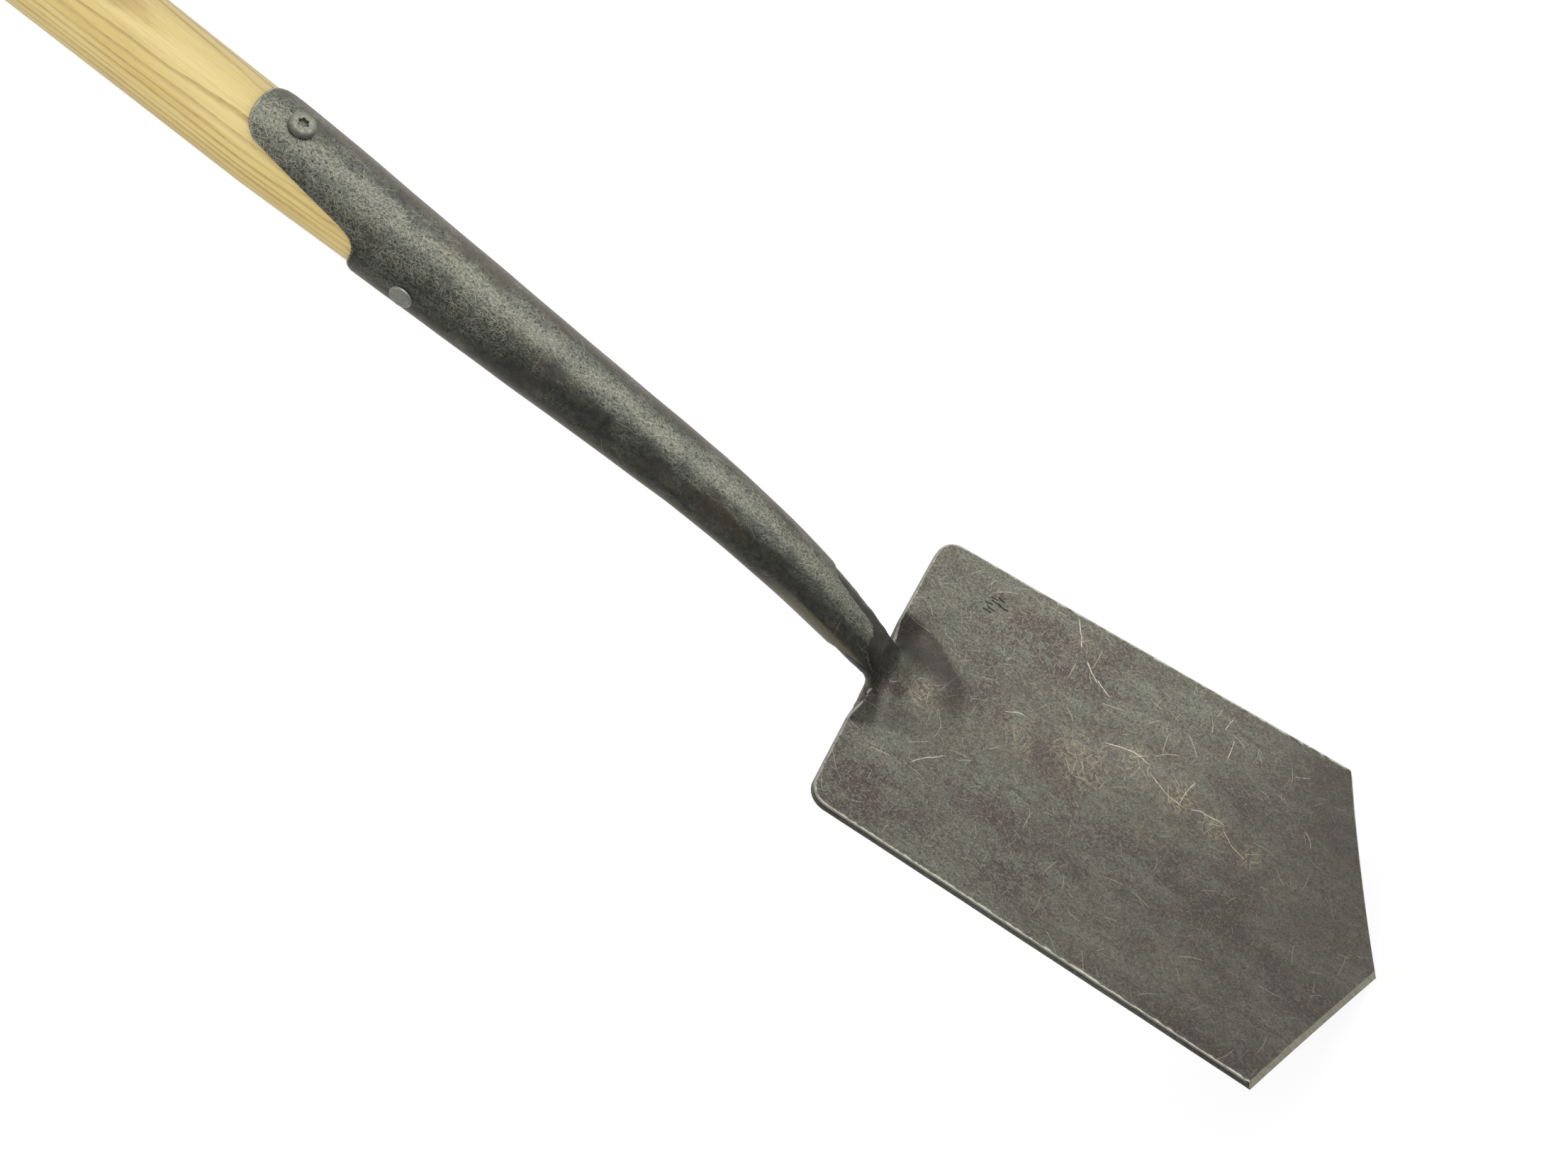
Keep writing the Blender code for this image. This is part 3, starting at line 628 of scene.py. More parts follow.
def ground_steel():
    """The ground bevel along the point: finer, paler, with grinding lines across it."""
    material, tree, shader = new_material("ground_steel")
    where = surface_mm(tree)
    lines = speckle(where, (9.0, 0.35, 1.0), 3.0, 0.6, 2.0)
    mottle = speckle(where, 4.0, 4.0, 0.6, 8.0)
    colour = mixed(between(lines, 0.3, 0.7), (0.4, 0.39, 0.29), (0.58, 0.57, 0.43))
    colour = mixed(between(mottle, 0.55, 0.75, 0.0, 0.5), colour, (0.26, 0.23, 0.17))
    set_looks(shader, colour, 0.8, 0.42, lines, 0.04)
    return material


def plain_metal(name, dark, light, rough, size):
    """Small hardware metal with soft mottling and fine specks."""
    material, tree, shader = new_material(name)
    where = surface_mm(tree)
    mottle = speckle(where, size, 4.0, 0.65, 2.0)
    speck = speckle(where, size / 5.0, 2.0, 0.6, 5.0)
    colour = mixed(between(mottle, 0.3, 0.7), dark, light)
    colour = mixed(between(speck, 0.6, 0.75, 0.0, 0.4), colour, dark)
    roughness = between(mottle, 0.3, 0.7, rough + 0.06, rough - 0.06)
    set_looks(shader, colour, 0.7, roughness, mottle, 0.05)
    return material


def wood(name, along, pale, mid, dark, spacing, lean, slope, sweep, seed):
    """Ash: growth rings cut by the piece's surface, with porous bands, fibre streaks and short pores."""
    material, tree, shader = new_material(name)
    in_metres = result(tree, "ShaderNodeTexCoord", output="Object")
    x, y, z = outputs(node(tree, "ShaderNodeSeparateXYZ", {0: scaled(in_metres, MM)}))
    a, b, length = {"Z": (x, y, z), "X": (y, z, x)}[along]
    grain = result(tree, "ShaderNodeCombineXYZ", {0: a, 1: b, 2: length})

    depth = length * slope + (b * math.cos(lean) + a * math.sin(lean))
    slow = speckle(grain, (60.0, 60.0, 190.0), 1.0, 0.5, seed)
    quick = speckle(grain, (5.0, 5.0, 16.0), 2.0, 0.5, seed + 4.0)
    depth = slow * sweep + depth
    depth = quick * 1.1 + depth
    rings = depth / spacing
    uneven = speckle(result(tree, "ShaderNodeCombineXYZ", {0: rings}), 1.6, 1.0, 0.5, seed)
    rings = uneven * 1.3 + rings
    phase = calc("FRACT", rings)
    band = between(phase, 0.0, 0.08) * between(phase, 0.5, 0.1)
    late = between(phase, 0.55, 1.0, 0.0, 0.4)
    strength = between(speckle(grain, (9.0, 9.0, 60.0), 2.0, 0.5, seed + 8.0), 0.25, 0.7, 0.4, 1.0)
    fibre = speckle(grain, (0.55, 0.55, 26.0), 3.0, 0.65, seed + 1.0)
    pores = speckle(grain, (0.28, 0.28, 4.5), 1.0, 0.5, seed + 2.0)
    broad = speckle(grain, (14.0, 14.0, 110.0), 2.0, 0.5, seed + 6.0)

    colour = mixed(between(broad, 0.3, 0.7), mid, pale)
    colour = mixed(late * 0.5, colour, mid)
    colour = mixed(band * (strength * 0.75), colour, dark)
    colour = mixed(between(fibre, 0.55, 0.3, 0.0, 0.28), colour, dark)
    open_pore = between(pores, 0.4, 0.28)
    open_pore = open_pore * (band * 0.75 + 0.12)
    colour = mixed(open_pore * 0.8, colour, dark)
    height = open_pore * -1.0 + fibre * 0.5
    set_looks(shader, colour, 0.0, between(band, 0.0, 1.0, 0.34, 0.5), height, 0.05)
    return material


# ---------------------------------------------------------------- blade

def blade_point(x, w, n):
    """Blade coordinates to design coordinates."""
    depth = n + blade_sag(x, w)
    y = -POINT_FORWARD + w * math.sin(TILT) + depth * math.cos(TILT)
    z = w * math.cos(TILT) - depth * math.sin(TILT)
    return x, y, z


def eased(points, spare):
    """Press the swell behind the blade's top edge back inside the CAD blade's box."""
    start = BLADE_BOX[1].y / MM - AXIS_Y - spare - BACK_EASE
    over = np.maximum(points[..., 1] - start, 0.0)
    points[..., 1] -= over - BACK_EASE * (1.0 - np.exp(-over / BACK_EASE))
    return points


def blade_place(x, w, n, dip):
    """Point of the finished blade: dipped beside the neck, a little uneven, and faired into the weld."""
    beside_neck = smoothstep(np.abs(x), 30.0, 14.0)
    w = w - dip * beside_neck * smoothstep(w, HOLLOW_FLOOR, BLADE_LENGTH)
    n, x, w = np.broadcast_arrays(np.asarray(n, float), x, w)
    frontness = smoothstep(n, 3.0, 0.8)
    backness = smoothstep(n, 3.0, 4.4)
    n = n - weld_rise(x, w, 1.0) * frontness + weld_rise(x, w, -1.0) * backness
    n = n + 0.12 * ripple(x, w, 70.0, 1.0) * smoothstep(w, 0.0, 30.0)
    return eased(np.stack(blade_point(x, w, n), axis=-1), 0.05)


def bisected(gap, inside, outside, steps):
    """Where a gap turns from negative to positive, between a value inside and one outside."""
    for _ in range(steps):
        half = (inside + outside) / 2
        solid = gap(half) < 0.0
        inside = np.where(solid, half, inside)
        outside = np.where(solid, outside, half)
    return inside, outside


def weld_rise(x, w, side):
    """How far the weld's fillet lifts the blade's front (side 1) or back (side -1) at a place."""
    rise = np.zeros(x.shape)
    near = (np.abs(x) < 42.0) & (w > 180.0)
    if not near.any():
        return rise
    near_x, near_w = x[near], w[near]
    face = 0.0 if side > 0 else THICKNESS

    def gap(height):
        return union_gap(*blade_point(near_x, near_w, face - side * height))

    inside = np.zeros(near_x.shape)
    for height in np.linspace(0.0, 24.0, 49):
        inside = np.where(gap(height) < 0.0, height, inside)
    inside, _ = bisected(gap, inside, inside + 0.5, 12)
    found = np.where(inside < 0.005, 0.0, inside)
    found = found - 0.012 * np.maximum(found - 4.0, 0.0) ** 2
    rise[near] = found * smoothstep(np.abs(near_x), 42.0, 30.0) * smoothstep(near_w, 182.0, 200.0)
    return rise


def hollow_rise(x, w):
    """How far a place lies above the curved foot of the hollow's slope."""
    return w - HOLLOW_FLOOR - HOLLOW_WIDENING * np.abs(x) ** HOLLOW_POWER


def blade_sag(x, w):
    """How far the sheet lies behind the plane of its side edges."""
    dish = DISH * (1.0 - (x / HALF_WIDTH) ** 2)
    rise = hollow_rise(x, w)
    return dish + HOLLOW_SLOPE * 0.5 * (rise + np.hypot(rise, HOLLOW_SOFTNESS))


def side_edge(w):
    """Half width of the blade between its shoulders and its top corners."""
    return blend(HALF_WIDTH, HALF_TOP, (w - POINT_LENGTH) / (BLADE_LENGTH - POINT_LENGTH))


POINT_ROWS = 26


def blade_outline(inset, point_inset):
    """Half widths and w from the point to the top edge."""
    slope = HALF_WIDTH / POINT_LENGTH
    tip = point_inset * POINT_SLANT / HALF_WIDTH
    shoulder = (HALF_WIDTH - inset) / slope + tip
    radius = TOP_CORNER - inset
    corner = BLADE_LENGTH - inset - radius
    point_w = np.linspace(tip, shoulder, POINT_ROWS, endpoint=False)
    low_w = np.linspace(shoulder, 190.0, 70, endpoint=False)
    high_w = np.linspace(190.0, corner, 46)
    turn = np.linspace(0.0, math.pi / 2, 9)[1:]
    round_w = corner + radius * np.sin(turn)
    w = np.concatenate([point_w, low_w, high_w, round_w])
    side = [side_edge(level) - inset for level in (low_w, high_w, round_w)]
    side[-1] = side[-1] - radius * (1.0 - np.cos(turn))
    half = np.concatenate([(point_w - tip) * slope, *side])
    return half, w


def edge_distance(x, w):
    """Distances from a point of the blade's face to the sides and top, and to the point's edges."""
    side = side_edge(w) - np.abs(x)
    top = BLADE_LENGTH - w
    point = (w - np.abs(x) * POINT_LENGTH / HALF_WIDTH) * HALF_WIDTH / POINT_SLANT
    inner_side = np.maximum(TOP_CORNER - side, 0.0)
    inner_top = np.maximum(TOP_CORNER - top, 0.0)
    corner = TOP_CORNER - np.hypot(inner_side, inner_top)
    straight = np.minimum(side, top)
    return np.where((inner_side > 0) & (inner_top > 0), corner, straight), point


# Powdery patches on the blade's front, and two painted lit patches in the hollow at w 224 and 212: (x, w,
# reach, strength)
CHALK_AND_LIT_PATCHES = ((13.0, 150.0, 15.0, 0.9), (24.0, 128.0, 12.0, 0.8), (23.0, 107.0, 11.0, 0.85),
         (19.0, 88.0, 9.0, 0.8), (15.0, 69.0, 8.0, 0.75), (5.0, 178.0, 12.0, 0.6),
         (12.0, 50.0, 8.0, 0.6), (-52.0, 88.0, 11.0, 0.35), (1.0, 224.0, 7.0, 1.0),
         (-3.0, 212.0, 6.0, 0.7), (62.0, 196.0, 10.0, 0.3), (-58.0, 120.0, 14.0, 0.3))


def front_painted_shade(x, w):
    """Painted shade on the blade's front: darkest low down and on the right flank of the hollow, also left
    of the hollow and round the neck, lighter to the right.
    """
    right = smoothstep(x, 5.0, 60.0)
    face = 0.08 + 0.40 * smoothstep(w, 215.0, 20.0) * (1.0 - 0.95 * right * smoothstep(w, 60.0, 105.0))
    face = face - 0.14 * smoothstep(w, 60.0, 150.0) * right
    face = face + 0.20 * smoothstep(x, -60.0, 60.0) * smoothstep(w, 80.0, 30.0)
    rise = hollow_rise(x, w)
    below = 0.8 * smoothstep(x, -14.0, 2.0) * smoothstep(rise, 17.0, 6.0)
    flank = smoothstep(rise, -5.0, 3.5) * np.maximum(smoothstep(x, 3.0, 14.0), below)
    left = 0.5 * np.exp(-((x + 16.0) ** 2 / 60.0 + (w - 232.0) ** 2 / 130.0))
    neck = 0.45 * smoothstep(w, 234.0, 241.0) * smoothstep(np.abs(x), 22.0, 14.0)
    return np.maximum.reduce([face, 0.8 * flank, left, neck])


def blade_marks(x, w, front):
    """Wear along the arrises and, on the front, the powdery streak down the middle with painted lit patches
    in the hollow, and the painted shade.
    """
    edge, point = edge_distance(x, w)
    rub = 0.35 + 0.65 * smoothstep(w, 120.0, 215.0) * smoothstep(edge, 90.0, 10.0)
    marks = {"edge": np.minimum(edge, np.maximum(point, 0.0) + 2.0), "rub": rub}
    if front:
        marks["streak_and_lit_patch"] = np.maximum.reduce([
            strength * np.exp(-((x - chalk_x) ** 2 + (w - chalk_w) ** 2) / reach ** 2)
            for chalk_x, chalk_w, reach, strength in CHALK_AND_LIT_PATCHES])
        marks["painted_shade"] = front_painted_shade(x, w)
    return marks


# The edge from the front face round to the back, on the sides and on the point: (inset, depth)
SIDE_LOOPS = ((0.7, 0.0), (0.44, 0.06), (0.2, 0.22), (0.05, 0.46), (0.0, 0.75), (0.0, 2.4),
              (0.0, 4.1), (0.12, 4.42), (0.45, THICKNESS))
POINT_LOOPS = ((3.0, 0.0), (2.92, 0.08), (2.2, 1.07), (1.5, 2.03), (0.8, 2.98), (0.06, 3.94),
               (0.0, 4.02), (0.0, 4.5), (0.1, THICKNESS))
BEVEL_LOOPS = 6


def make_blade(steel, ground):
    """Front and back faces and the border round them, with the ground bevel on the point."""
    columns = 56
    k = np.arange(-columns, columns + 1) / columns
    spread = np.sign(k) * np.abs(k) ** 1.2

    def face(side_loop, point_loop, dip, front):
        half, w = blade_outline(side_loop[0], point_loop[0])
        x = half[:, None] * spread
        w = np.broadcast_to(w[:, None], x.shape)
        uv = np.stack([x + (0.0 if front else 300.0), w], axis=-1)
        return sheet(blade_place(x, w, side_loop[1], dip), uv, blade_marks(x, w, front))

    def round_blade(side, top):
        return np.concatenate([side, top, side[:-1][::-1]])

    rows = []
    for (inset, side_n), (point_inset, point_n) in zip(SIDE_LOOPS, POINT_LOOPS):
        half, w = blade_outline(inset, point_inset)
        n = np.where(np.arange(len(w)) <= POINT_ROWS, point_n, side_n)
        top_x = (half[-1] * spread)[1:]
        level = np.ones(len(top_x))
        x = np.concatenate([-half, top_x, half[:-1][::-1]])
        rows.append((x, round_blade(w, w[-1] * level), round_blade(n, n[-1] * level)))
    x, w, n = np.moveaxis(np.array(rows), 1, 0)
    points = blade_place(x, w, n, blend(TOP_DIP_FRONT, TOP_DIP_BACK, n / THICKNESS))
    uv = np.stack([x + n * np.sign(x), w + n], axis=-1)
    material = np.zeros((x.shape[0] - 1, x.shape[1] - 1), int)
    material[:BEVEL_LOOPS, :POINT_ROWS] = 1
    material[:BEVEL_LOOPS, -POINT_ROWS:] = 1
    border = sheet(points, uv, {"edge": np.where(n < 1.0, 0.2, 6.0), "rub": 0.4}, material)
    front = face(SIDE_LOOPS[0], POINT_LOOPS[0], TOP_DIP_FRONT, True)
    back = face(SIDE_LOOPS[-1], POINT_LOOPS[-1], TOP_DIP_BACK, False)
    return build("blade_forged", [front, border, back], [steel, ground], "blade")


# ---------------------------------------------------------------- socket and weld

UNWORN = {"edge": 50.0}


def neck_centre_y(z):
    drop = np.maximum(0.0, BEND_START_Z - z)
    return BEND_RADIUS - np.sqrt(BEND_RADIUS ** 2 - drop ** 2)


def seat_radius(z):
    return SHAFT_RADIUS - SOCKET_TAPER * np.maximum(0.0, TAPER_TOP_Z - z)


def socket_radius(z):
    cone = seat_radius(np.maximum(z, CAVITY_FLOOR_Z)) + GAP + SHEET
    t = np.clip((CAVITY_FLOOR_Z - z) / (CAVITY_FLOOR_Z - NECK_END_Z), 0.0, 1.0)
    return blend(cone, NECK_END_RADIUS, 0.5 * t + 0.5 * t ** 3)


def strap_top(degrees):
    """Height of the socket's upper edge at an angle from the front: strap, flare, then mouth."""
    at = np.abs(degrees)
    round_end = 44.0
    fillet_start = 61.0

    def rounded(angle):
        share = np.clip(angle / 47.0, 0.0, 1.0) ** STRAP_END_FULLNESS
        return STRAP_TOP_Z - STRAP_END_DEPTH * (1.0 - (1.0 - share) ** (1.0 / STRAP_END_FULLNESS))

    share = (at - round_end) / (fillet_start - round_end)
    straight = blend(rounded(round_end), MOUTH_Z + FILLET_HEIGHT, share)
    flare = MOUTH_Z + FILLET_HEIGHT * np.exp(-(at - fillet_start) / 6.0)
    height = np.where(at <= round_end, rounded(at), np.where(at <= fillet_start, straight, flare))
    height = height - MOUTH_FALL * smoothstep(at, 100.0, 128.0)
    return height + 0.25 * np.sin(degrees * 0.21) * smoothstep(at, 30.0, 40.0) * smoothstep(at, 75.0, 62.0)


SEAM = ((-180.0, 262.0), (-118.0, 261.0), (-96.0, 257.0), (-82.0, 246.0), (-70.0, 240.0), (-62.0, 243.5),
        (-47.0, 247.6), (-35.0, 248.8), (-14.0, 249.8), (0.0, 252.0), (2.5, 256.0), (5.0, 266.0),
        (12.0, 275.4), (30.0, 279.0), (60.0, 281.0), (110.0, 276.0), (180.0, 262.0))


def seam_z(degrees):
    """Height at which the neck's skin ends and the weld metal begins."""
    angles, heights = zip(*SEAM)
    ragged = 0.35 * np.sin(degrees * 0.9) + 0.3 * np.sin(degrees * 2.3 + 1.0)
    return np.interp(degrees, angles, heights) + ragged


def socket_columns():
    """Angles from the front, in degrees, closer together under the strap's edges and at the seam."""
    fine = np.arange(25.0, 72.0, 1.0)
    wide = np.concatenate([np.arange(72.0, 177.0, 2.5), [177.0, 180.0]])
    middle = np.arange(-25.0, 25.0, 1.25)
    return np.concatenate([-wide[::-1], -fine[::-1], middle, fine, wide])


def slot_half_angle(z):
    """Half the angle of the open seam at the back."""
    opening = np.sqrt(np.clip((z - SLOT_END_Z) / 1.5, 0.0, 1.0))
    return opening * np.degrees(0.5 * SLOT_WIDTH / 15.0)


def socket_surface(degrees, z, inward, shift=0.0):
    """Point on the socket's outside, or inward of it, and its surface coordinates."""
    squeeze = 1.0 - slot_half_angle(z) / 180.0
    angle = np.radians(degrees * squeeze) + shift / socket_radius(z)
    radius = socket_radius(z) + 0.10 * ripple(np.radians(degrees) * 15.0, z, 46.0, 3.0) * (inward < 0.01)
    radius = radius - inward
    y = neck_centre_y(z) - radius * np.cos(angle)
    points = np.stack(np.broadcast_arrays(radius * np.sin(angle), y, z), axis=-1)
    uv = np.stack(np.broadcast_arrays(angle * 16.0, z), axis=-1)
    return points, uv


def socket_marks(uv, edge_curve):
    """Distance to the worn edges, which also carry a painted highlight, rubbing with a painted highlight
    band down the front and up the left, brown flanks and a painted lit patch beside the seam.
    """
    edge = np.full(uv.shape[:2], UNWORN["edge"])
    for s, z in edge_curve[::2]:
        edge = np.minimum(edge, np.hypot(uv[..., 0] - s, uv[..., 1] - z))
    degrees = np.degrees(uv[..., 0] / 16.0)
    z = uv[..., 1]
    edge = np.minimum(edge, 0.4 + 0.8 * (z - seam_z(degrees)))
    # Painted highlight: the rubbing is centred on the band where light falls on the socket, and widened up
    # the upper left.
    middle = blend(-6.0, -14.0, smoothstep(z, 300.0, 420.0))
    upper_left = 0.95 * smoothstep(z, 400.0, 455.0) * np.exp(-((degrees + 44.0) / 27.0) ** 2)
    rub = np.maximum(np.exp(-((degrees - middle) / 24.0) ** 2), upper_left)
    brown = 0.7 * np.maximum(smoothstep(degrees, 8.0, 34.0), smoothstep(degrees, -84.0, -104.0))
    # Painted lit patch on the neck's left back, beside the seam.
    facet = smoothstep(degrees, -74.0, -82.0) * smoothstep(z, 306.0, 282.0)
    facet = facet * smoothstep(degrees, -170.0, -130.0)
    return {"edge": edge, "rub": rub, "brown": brown, "facet": facet}


def make_socket(steel):
    """Neck and socket: skin, lining, the rounded edge between them and a lid inside the weld."""
    degrees = socket_columns()
    top = strap_top(degrees)
    bottom = seam_z(degrees)
    slope_s, slope_z = np.gradient(np.radians(degrees) * socket_radius(top)), np.gradient(top)
    length = np.hypot(slope_s, slope_z)
    normal_s, normal_z = -slope_z / length, slope_s / length
    cone_top = MOUTH_Z - 4.0
    arris, inner_arris = 0.45, 0.2

    outer = []

    def add(z, inward=0.0, shift=0.0):
        outer.append(socket_surface(degrees, z, inward, shift))

    for rise, inward in ((0.8, 1.4), (0.0, 0.75), (0.0, 0.3), (0.15, 0.08)):
        add(bottom + rise, inward)
    for t in np.linspace(0.0, 1.0, 74):
        add(blend(bottom + 0.5, CAVITY_FLOOR_Z, t ** 1.1))
    for t in np.linspace(0.0, 1.0, 70)[1:]:
        add(blend(CAVITY_FLOOR_Z, cone_top, t))
    for t in np.linspace(0.0, 1.0, 36)[1:]:
        add(blend(cone_top, top - arris * normal_z, t), 0.0, -arris * normal_s * t)
    edge_curve = outer[-1][1]
    for turn in np.radians((30.0, 60.0, 90.0)):
        back = arris * (1.0 - math.sin(turn))
        add(top - back * normal_z, arris * (1.0 - math.cos(turn)), -back * normal_s)
    add(top, SHEET - inner_arris)
    inner_top = top - inner_arris * normal_z
    add(inner_top, SHEET, -inner_arris * normal_s)

    levels = [blend(cone_top, inner_top, t) for t in np.linspace(1.0, 0.0, 18)[1:]]
    levels += [*np.linspace(cone_top, SLOT_END_Z, 30)[1:], 355.0, CAVITY_FLOOR_Z]
    inner = [outer[-1]] + [socket_surface(degrees, z, SHEET) for z in levels]

    lids = [fan(*outer[0], UNWORN), fan(*inner[-1], UNWORN)]
    outer, inner = ([np.stack(rows) for rows in zip(*surface)] for surface in (outer, inner))
    skin = sheet(*outer, socket_marks(outer[1], edge_curve))
    lining = sheet(*inner, UNWORN)
    walls = slot_walls(outer[0], inner[0])
    return build("socket_forged", [skin, lining, *lids, *walls], [steel], "socket")


def slot_walls(outer, inner):
    """The two cut faces of the open seam, from the outside to the inside of the sheet."""
    walls = []
    for column in (0, -1):
        lines = [points[:, column][np.argsort(points[:, column, 2])] for points in (outer, inner)]
        levels = np.linspace(SLOT_END_Z, min(line[-1, 2] for line in lines), 60)
        points = np.stack([[np.interp(levels, line[:, 2], line[:, axis]) for axis in range(3)]
                           for line in lines])
        uv = np.stack(np.broadcast_arrays([[60.0], [60.0 + SHEET]], levels), axis=-1)
        walls.append(sheet(np.moveaxis(points, 1, -1), uv, UNWORN))
    return walls


def weld_column(z):
    """Middle y, half depth and half width of the weld's column at height z."""
    drop = NECK_END_Z - GAP - z
    down = np.maximum(drop, 0.0)
    spreading = smoothstep(down, 0.0, 7.0)
    centre = neck_centre_y(np.maximum(z, NECK_END_Z))
    radius = socket_radius(np.maximum(z, NECK_END_Z)) - 0.45
    front = centre - radius + WELD_RAMP * np.sin(math.pi / 2 * np.clip(down / WELD_HEIGHT, 0.0, 1.0))
    back = centre + radius + WELD_BACK_SWELL * spreading - WELD_BACK_SLOPE * down
    pinch = NECK_END_RADIUS * smoothstep(down, 9.0, 35.0)
    half_width = radius + WELD_FLARE * spreading - pinch
    return (front + back) / 2, np.maximum((back - front) / 2, 1.0), np.maximum(half_width, 1.0)


def blade_w(y, z):
    """Distance up the blade from its point."""
    return (y + POINT_FORWARD) * math.sin(TILT) + z * math.cos(TILT)


def blade_gap(x, y, z):
    """Rough signed distance from a design point to the blade's sheet."""
    w = blade_w(y, z)
    depth = (y + POINT_FORWARD) * math.cos(TILT) - z * math.sin(TILT) - blade_sag(x, w)
    beside_neck = smoothstep(np.abs(x), 30.0, 14.0)
    dip = blend(TOP_DIP_FRONT, TOP_DIP_BACK, np.clip(depth / THICKNESS, 0.0, 1.0)) * beside_neck
    above = w - (BLADE_LENGTH - dip)
    return np.maximum(np.maximum(-depth, depth - THICKNESS), above) * 0.93


def union_gap(x, y, z):
    """Signed distance to the weld's column and the blade's sheet, run together with a soft fillet."""
    middle, depth, width = weld_column(z)
    reach = np.hypot(x / width, (y - middle) / depth)
    past_end = WELD_END_Z - z
    column = (reach - 1.0) * np.minimum(width, depth) + 0.3 * (past_end + np.hypot(past_end, 9.0))
    gap = blade_gap(x, y, z)
    fillet = blend(WELD_FILLET, NECK_FILLET, smoothstep(z, 226.0, 242.0))
    soft = np.maximum(fillet - np.abs(column - gap), 0.0) / fillet
    return np.minimum(column, gap) - soft ** 3 * fillet / 6.0


def weld_gap(x, y, z):
    """The same surface, sunk just under the blade's own where the blade carries it."""
    gap = blade_gap(x, y, z)
    return union_gap(x, y, z) + 0.12 * smoothstep(gap, 9.0, 3.0)


def make_weld(steel):
    """Weld metal from inside the neck's end down into the hollow, faired into the blade."""
    rows, steps, reach = 96, 120, 21.0
    z = np.linspace(284.0, 207.0, rows)[:, None]
    angle = np.linspace(0.0, 2 * math.pi, steps + 1)[None, :]
    middle = weld_column(z)[0]
    inside_blade = (z * math.tan(TILT) - POINT_FORWARD) + DISH + THICKNESS / 2 + 2.0
    middle = blend(middle, inside_blade + HOLLOW_SLOPE * np.maximum(z - HOLLOW_FLOOR, 0.0),
                   smoothstep(z, 236.0, 222.0))
    ox, oy = np.sin(angle), -np.cos(angle)

    def gap(radius):
        return weld_gap(radius * ox, middle + radius * oy, z)

    samples = np.linspace(0.0, reach, 85)
    first_out = np.full((rows, steps + 1), reach)
    for sample in samples[::-1]:
        first_out = np.where(gap(sample) > 0.0, sample, first_out)
    radius = sum(bisected(gap, np.maximum(first_out - samples[1], 0.0), first_out, 14)) / 2
    lumps = 0.16 * ripple(radius * ox, z, 13.0, 2.0) + 0.1 * ripple(radius * ox, z, 6.0, 5.0)
    radius = radius + lumps * smoothstep(z, 236.0, 244.0) * (radius < reach - 0.5)
    points = eased(np.stack(np.broadcast_arrays(radius * ox, middle + radius * oy, z), axis=-1), 0.2)
    x, w = points[..., 0], blade_w(points[..., 1], points[..., 2])
    uv = np.stack([x, w], axis=-1)
    marks = blade_marks(x, w, True)
    front = smoothstep(points[..., 1] - middle, 4.0, -3.0)
    # Painted shade of the blade's front, faded out on the weld's back.
    marks["painted_shade"] = marks["painted_shade"] * front
    marks["weld"] = smoothstep(points[..., 2], 231.0, 243.0) * blend(0.3, 1.0, front)
    marks["edge"] = 20.0
    skin = sheet(points, uv, marks)
    lids = [fan(points[i], uv[i]) for i in (0, -1)]
    return build("weld_bead", [skin] + lids, [steel], "neck_weld", sharp=60.0)


# ---------------------------------------------------------------- shaft and grip

def shaft_radius(z):
    belly = blend(SHAFT_RADIUS, SHAFT_BELLY_RADIUS, smoothstep(z, TAPER_TOP_Z, SHAFT_BELLY_Z))
    slim = blend(SHAFT_BELLY_RADIUS, SHAFT_TOP_RADIUS, smoothstep(z, SHAFT_BELLY_Z, SHOULDER_Z))
    return np.where(z <= TAPER_TOP_Z, seat_radius(z), np.where(z <= SHAFT_BELLY_Z, belly, slim))


def make_shaft(ash):
    """Straight shaft with a tapered foot in the socket and a tenon in the grip."""
    chamfer = 1.5
    profile = [(0.0, SHAFT_FOOT_Z), (float(seat_radius(SHAFT_FOOT_Z)) - chamfer, SHAFT_FOOT_Z)]
    for z in np.linspace(SHAFT_FOOT_Z + chamfer, SHOULDER_Z, 90):
        profile.append((float(shaft_radius(z)), z))
    profile += [(TENON_RADIUS, SHOULDER_Z), (TENON_RADIUS, SHAFT_TOP_Z - chamfer)]
    profile += [(TENON_RADIUS - chamfer, SHAFT_TOP_Z), (0.0, SHAFT_TOP_Z)]
    return build("ash_shaft", [turned(profile)], [ash], "shaft")


def grip_section(x):
    """Top z, bottom z, half depth and squareness of the underside at x along the grip."""
    ax = np.abs(x)
    top = GRIP_TOP_Z - GRIP_CROWN * (ax / GRIP_HALF_LENGTH) ** 2
    boss = smoothstep(ax, 32.0, 17.0)
    fall = blend(blend(42.4, 48.5, smoothstep(ax, 35.0, 80.0)), 46.6, boss)
    depth = blend(17.5, GRIP_BACK_Y, smoothstep(ax, 45.0, 8.0))
    beyond = np.maximum(0.0, GRIP_ROUNDING - (GRIP_HALF_LENGTH - ax))
    inset = GRIP_ROUNDING - np.sqrt(np.maximum(0.0, GRIP_ROUNDING ** 2 - beyond ** 2))
    return top - inset, GRIP_TOP_Z - fall + inset, depth - inset, blend(2.3, 4.0, boss)


